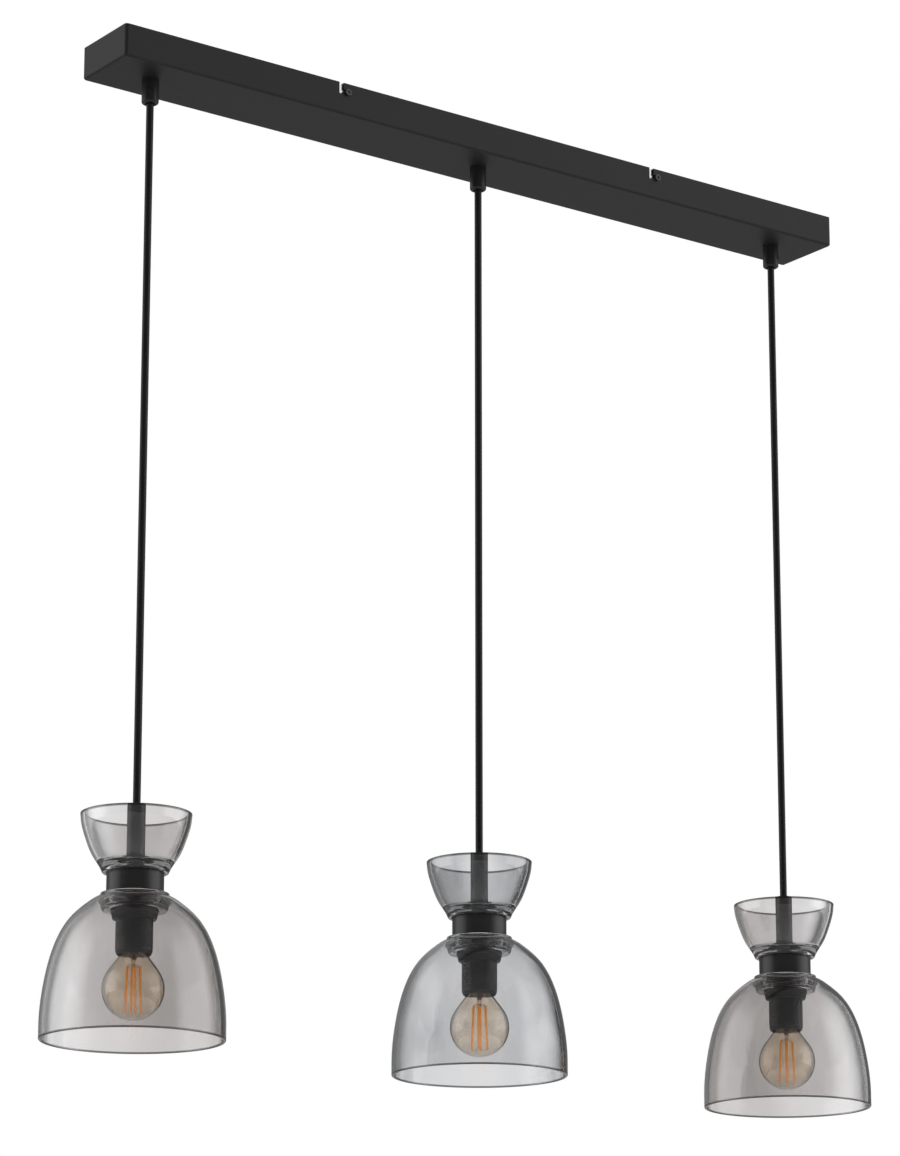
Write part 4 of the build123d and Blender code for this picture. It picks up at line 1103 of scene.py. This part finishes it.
cap_outline = round_corners(
    [(0.0, 86.0), (CAP_INSIDE, 86.0), (CAP_INSIDE, 69.5), (7.5, 66.0), (7.5, 64.5, 0.2),
     (CAP_COLLAR, 64.5, 0.25), (7.6, 67.6, 0.5), (CAP_RADIUS, 69.0, 0.3), (CAP_RADIUS, 86.1, 0.4),
     (3.0, 89.4, 0.2), (2.4, 89.6, 0.1), (CONTACT_RADIUS, 91.0, 0.7), (0.0, CAP_TIP)])
for side in SIDES:
    cap = turn(f"{side}_screw_cap", cap_outline, axes[side], segments=96)
    add_piece(f"{side}_screw_cap", cap, nickel_plate, f"{side}_bulb", "nickel", f"{side}_bulb_cap")
    thread = run_tree(thread_tree, above_rim(side, CAP_THREAD_FOOT), **CAP_THREAD,
                      finish=nickel_plate)
    add_piece(f"{side}_cap_thread", thread, nickel_plate, f"{side}_bulb", "nickel")
print("cap and thread:", len(cap.polygons) + len(thread.polygons), "faces")

# %% [markdown]
# A filament is a thin rod dotted with small phosphor beads, so close that they touch. The tree
# strings beads on a leaning line, sets one such line for each filament and turns them to face
# outwards. The lines lean towards each other at the top, as on the real bulb.

# %% The filament tree
BEAD_SEGMENTS, BEAD_RINGS = 12, 8
TINY_RING = 1e-6

filament_tree, given, end_tree = start_tree(
    "leaning_filaments", count=COUNT, top_radius=FLOAT, low_radius=FLOAT, top=FLOAT, low=FLOAT,
    beads=COUNT, bead_radius=FLOAT, turn=FLOAT)
add = filament_tree.nodes.new
line = add("GeometryNodeMeshLine")
line.mode = "END_POINTS"
low_point = add("ShaderNodeCombineXYZ")
top_point = add("ShaderNodeCombineXYZ")
dot = add("GeometryNodeMeshUVSphere")
dot.inputs["Segments"].default_value = BEAD_SEGMENTS
dot.inputs["Rings"].default_value = BEAD_RINGS
beads = add("GeometryNodeInstanceOnPoints")
around = add("GeometryNodeMeshCircle")
around.inputs["Radius"].default_value = TINY_RING
place = add("GeometryNodeInputPosition")
flat = add("ShaderNodeVectorMath")
flat.operation = "NORMALIZE"
aim = add("FunctionNodeAlignRotationToVector")
aim.axis = "X"
aim.pivot_axis = "Z"
sets = add("GeometryNodeInstanceOnPoints")
whole = add("GeometryNodeTransform")
angle = add("ShaderNodeCombineXYZ")
join_all(
    filament_tree,
    (given, "low_radius", low_point, "X"), (given, "low", low_point, "Z"),
    (given, "top_radius", top_point, "X"), (given, "top", top_point, "Z"),
    (given, "beads", line, "Count"), (low_point, 0, line, "Start Location"),
    (top_point, 0, line, "Offset"), (given, "bead_radius", dot, "Radius"),
    (line, 0, beads, "Points"), (dot, 0, beads, "Instance"),
    (given, "count", around, "Vertices"), (place, 0, flat, 0), (flat, 0, aim, "Vector"),
    (around, 0, sets, "Points"), (beads, 0, sets, "Instance"), (aim, 0, sets, "Rotation"),
    (sets, 0, whole, "Geometry"), (given, "turn", angle, "Z"), (angle, 0, whole, "Rotation"))
end_tree(whole)
print("filament tree:", len(filament_tree.nodes), "nodes")

# %% Stand the filaments
FILAMENTS = {"count": 4, "top_radius": 4.4 * MM, "low_radius": 5.8 * MM, "top": 51.0 * MM,
             "low": 20.0 * MM, "beads": 34, "bead_radius": 0.95 * MM, "turn": math.radians(45)}

for side in SIDES:
    rods = run_tree(filament_tree, axes[side], **FILAMENTS, finish=phosphor)
    add_piece(f"{side}_filaments", rods, phosphor, f"{side}_bulb", "filament",
              f"{side}_bulb_filaments")
print("filaments:", len(rods.polygons), "faces")

# %% [markdown]
# The filaments hang from a wire that curls out of the post's foot, and stand on a hoop below. The
# post is a flared stick of clear glass. Curl and hoop are fine wire, and the thread tree bends
# both: it makes any helix, also one of nearly two turns or an almost closed flat one.

# %% Make the glass posts and support wires
POST_FOOT, POST_TOP = 68.0, 52.0
POST_FLARE, POST_RADIUS = 5.4, 1.7
CURL_FOOT = 51.2
CURL = {"turns": 1.9, "steps": 40, "radius": 4.3 * MM, "height": 1.5 * MM, "section": 0.22 * MM}
HOOP_FOOT = 19.2
HOOP = {"turns": 0.97, "steps": 64, "radius": 5.8 * MM, "height": 0.001 * MM,
        "section": 0.25 * MM}

post_outline = round_corners(
    [(0.0, POST_FOOT), (POST_FLARE, POST_FOOT, 0.3), (POST_FLARE, 66.6, 0.3), (2.4, 61.0, 1.5),
     (POST_RADIUS, 56.0, 0.8), (POST_RADIUS, 52.6, 0.7), (0.0, POST_TOP)][::-1])
for side in SIDES:
    post = turn(f"{side}_glass_post", post_outline, axes[side], segments=48)
    add_piece(f"{side}_glass_post", post, clear_glass, f"{side}_bulb", "amber_glass")
    for name, foot, sizes in (("support_wires", CURL_FOOT, CURL), ("lower_hoop", HOOP_FOOT, HOOP)):
        wire = run_tree(thread_tree, above_rim(side, foot), **sizes, finish=nickel_plate)
        add_piece(f"{side}_{name}", wire, nickel_plate, f"{side}_bulb", "nickel")
print("post:", len(post.polygons), "faces, wire:", len(wire.polygons), "faces")

# %% [markdown]
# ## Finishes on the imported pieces
# The canopy is folded steel, the bracket a stamped strap, and the screws, nuts and wiring are
# small or hidden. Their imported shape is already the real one, and to make it again would only add
# faces. They only get their finish.

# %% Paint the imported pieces
finishes = {
    "canopy_shell": powder_coat, "ceiling_bracket": zinc_plate, "side_screws": screw_black,
    "terminal_block": white_nylon, "terminal_screws": bare_brass, "stud_nuts": zinc_plate,
    "earth_lead": earth_sleeve, "grip_nuts": zinc_plate, "grip_set_screws": screw_black,
}
for side in SIDES:
    finishes.update({
        f"{side}_cord_grip": grip_plastic, f"{side}_cable_tail": cable_sheath,
        f"{side}_cable_end": cable_sheath, f"{side}_stem_bush": grip_plastic,
        f"{side}_nipple": zinc_plate, f"{side}_cup_washers": washer_rubber,
        f"{side}_lamp_contacts": bare_brass,
    })
for node, finish in finishes.items():
    for place in frame["nodes"][node].material_slots:
        place.material = finish
print("finished packed pieces:", len(finishes))

# %% [markdown]
# ## View
# The picture's colours go out through the Standard view transform. The visual model has to stay
# in the imported model's box.

# %% Set the view transform
bpy.context.scene.view_settings.view_transform = "Standard"
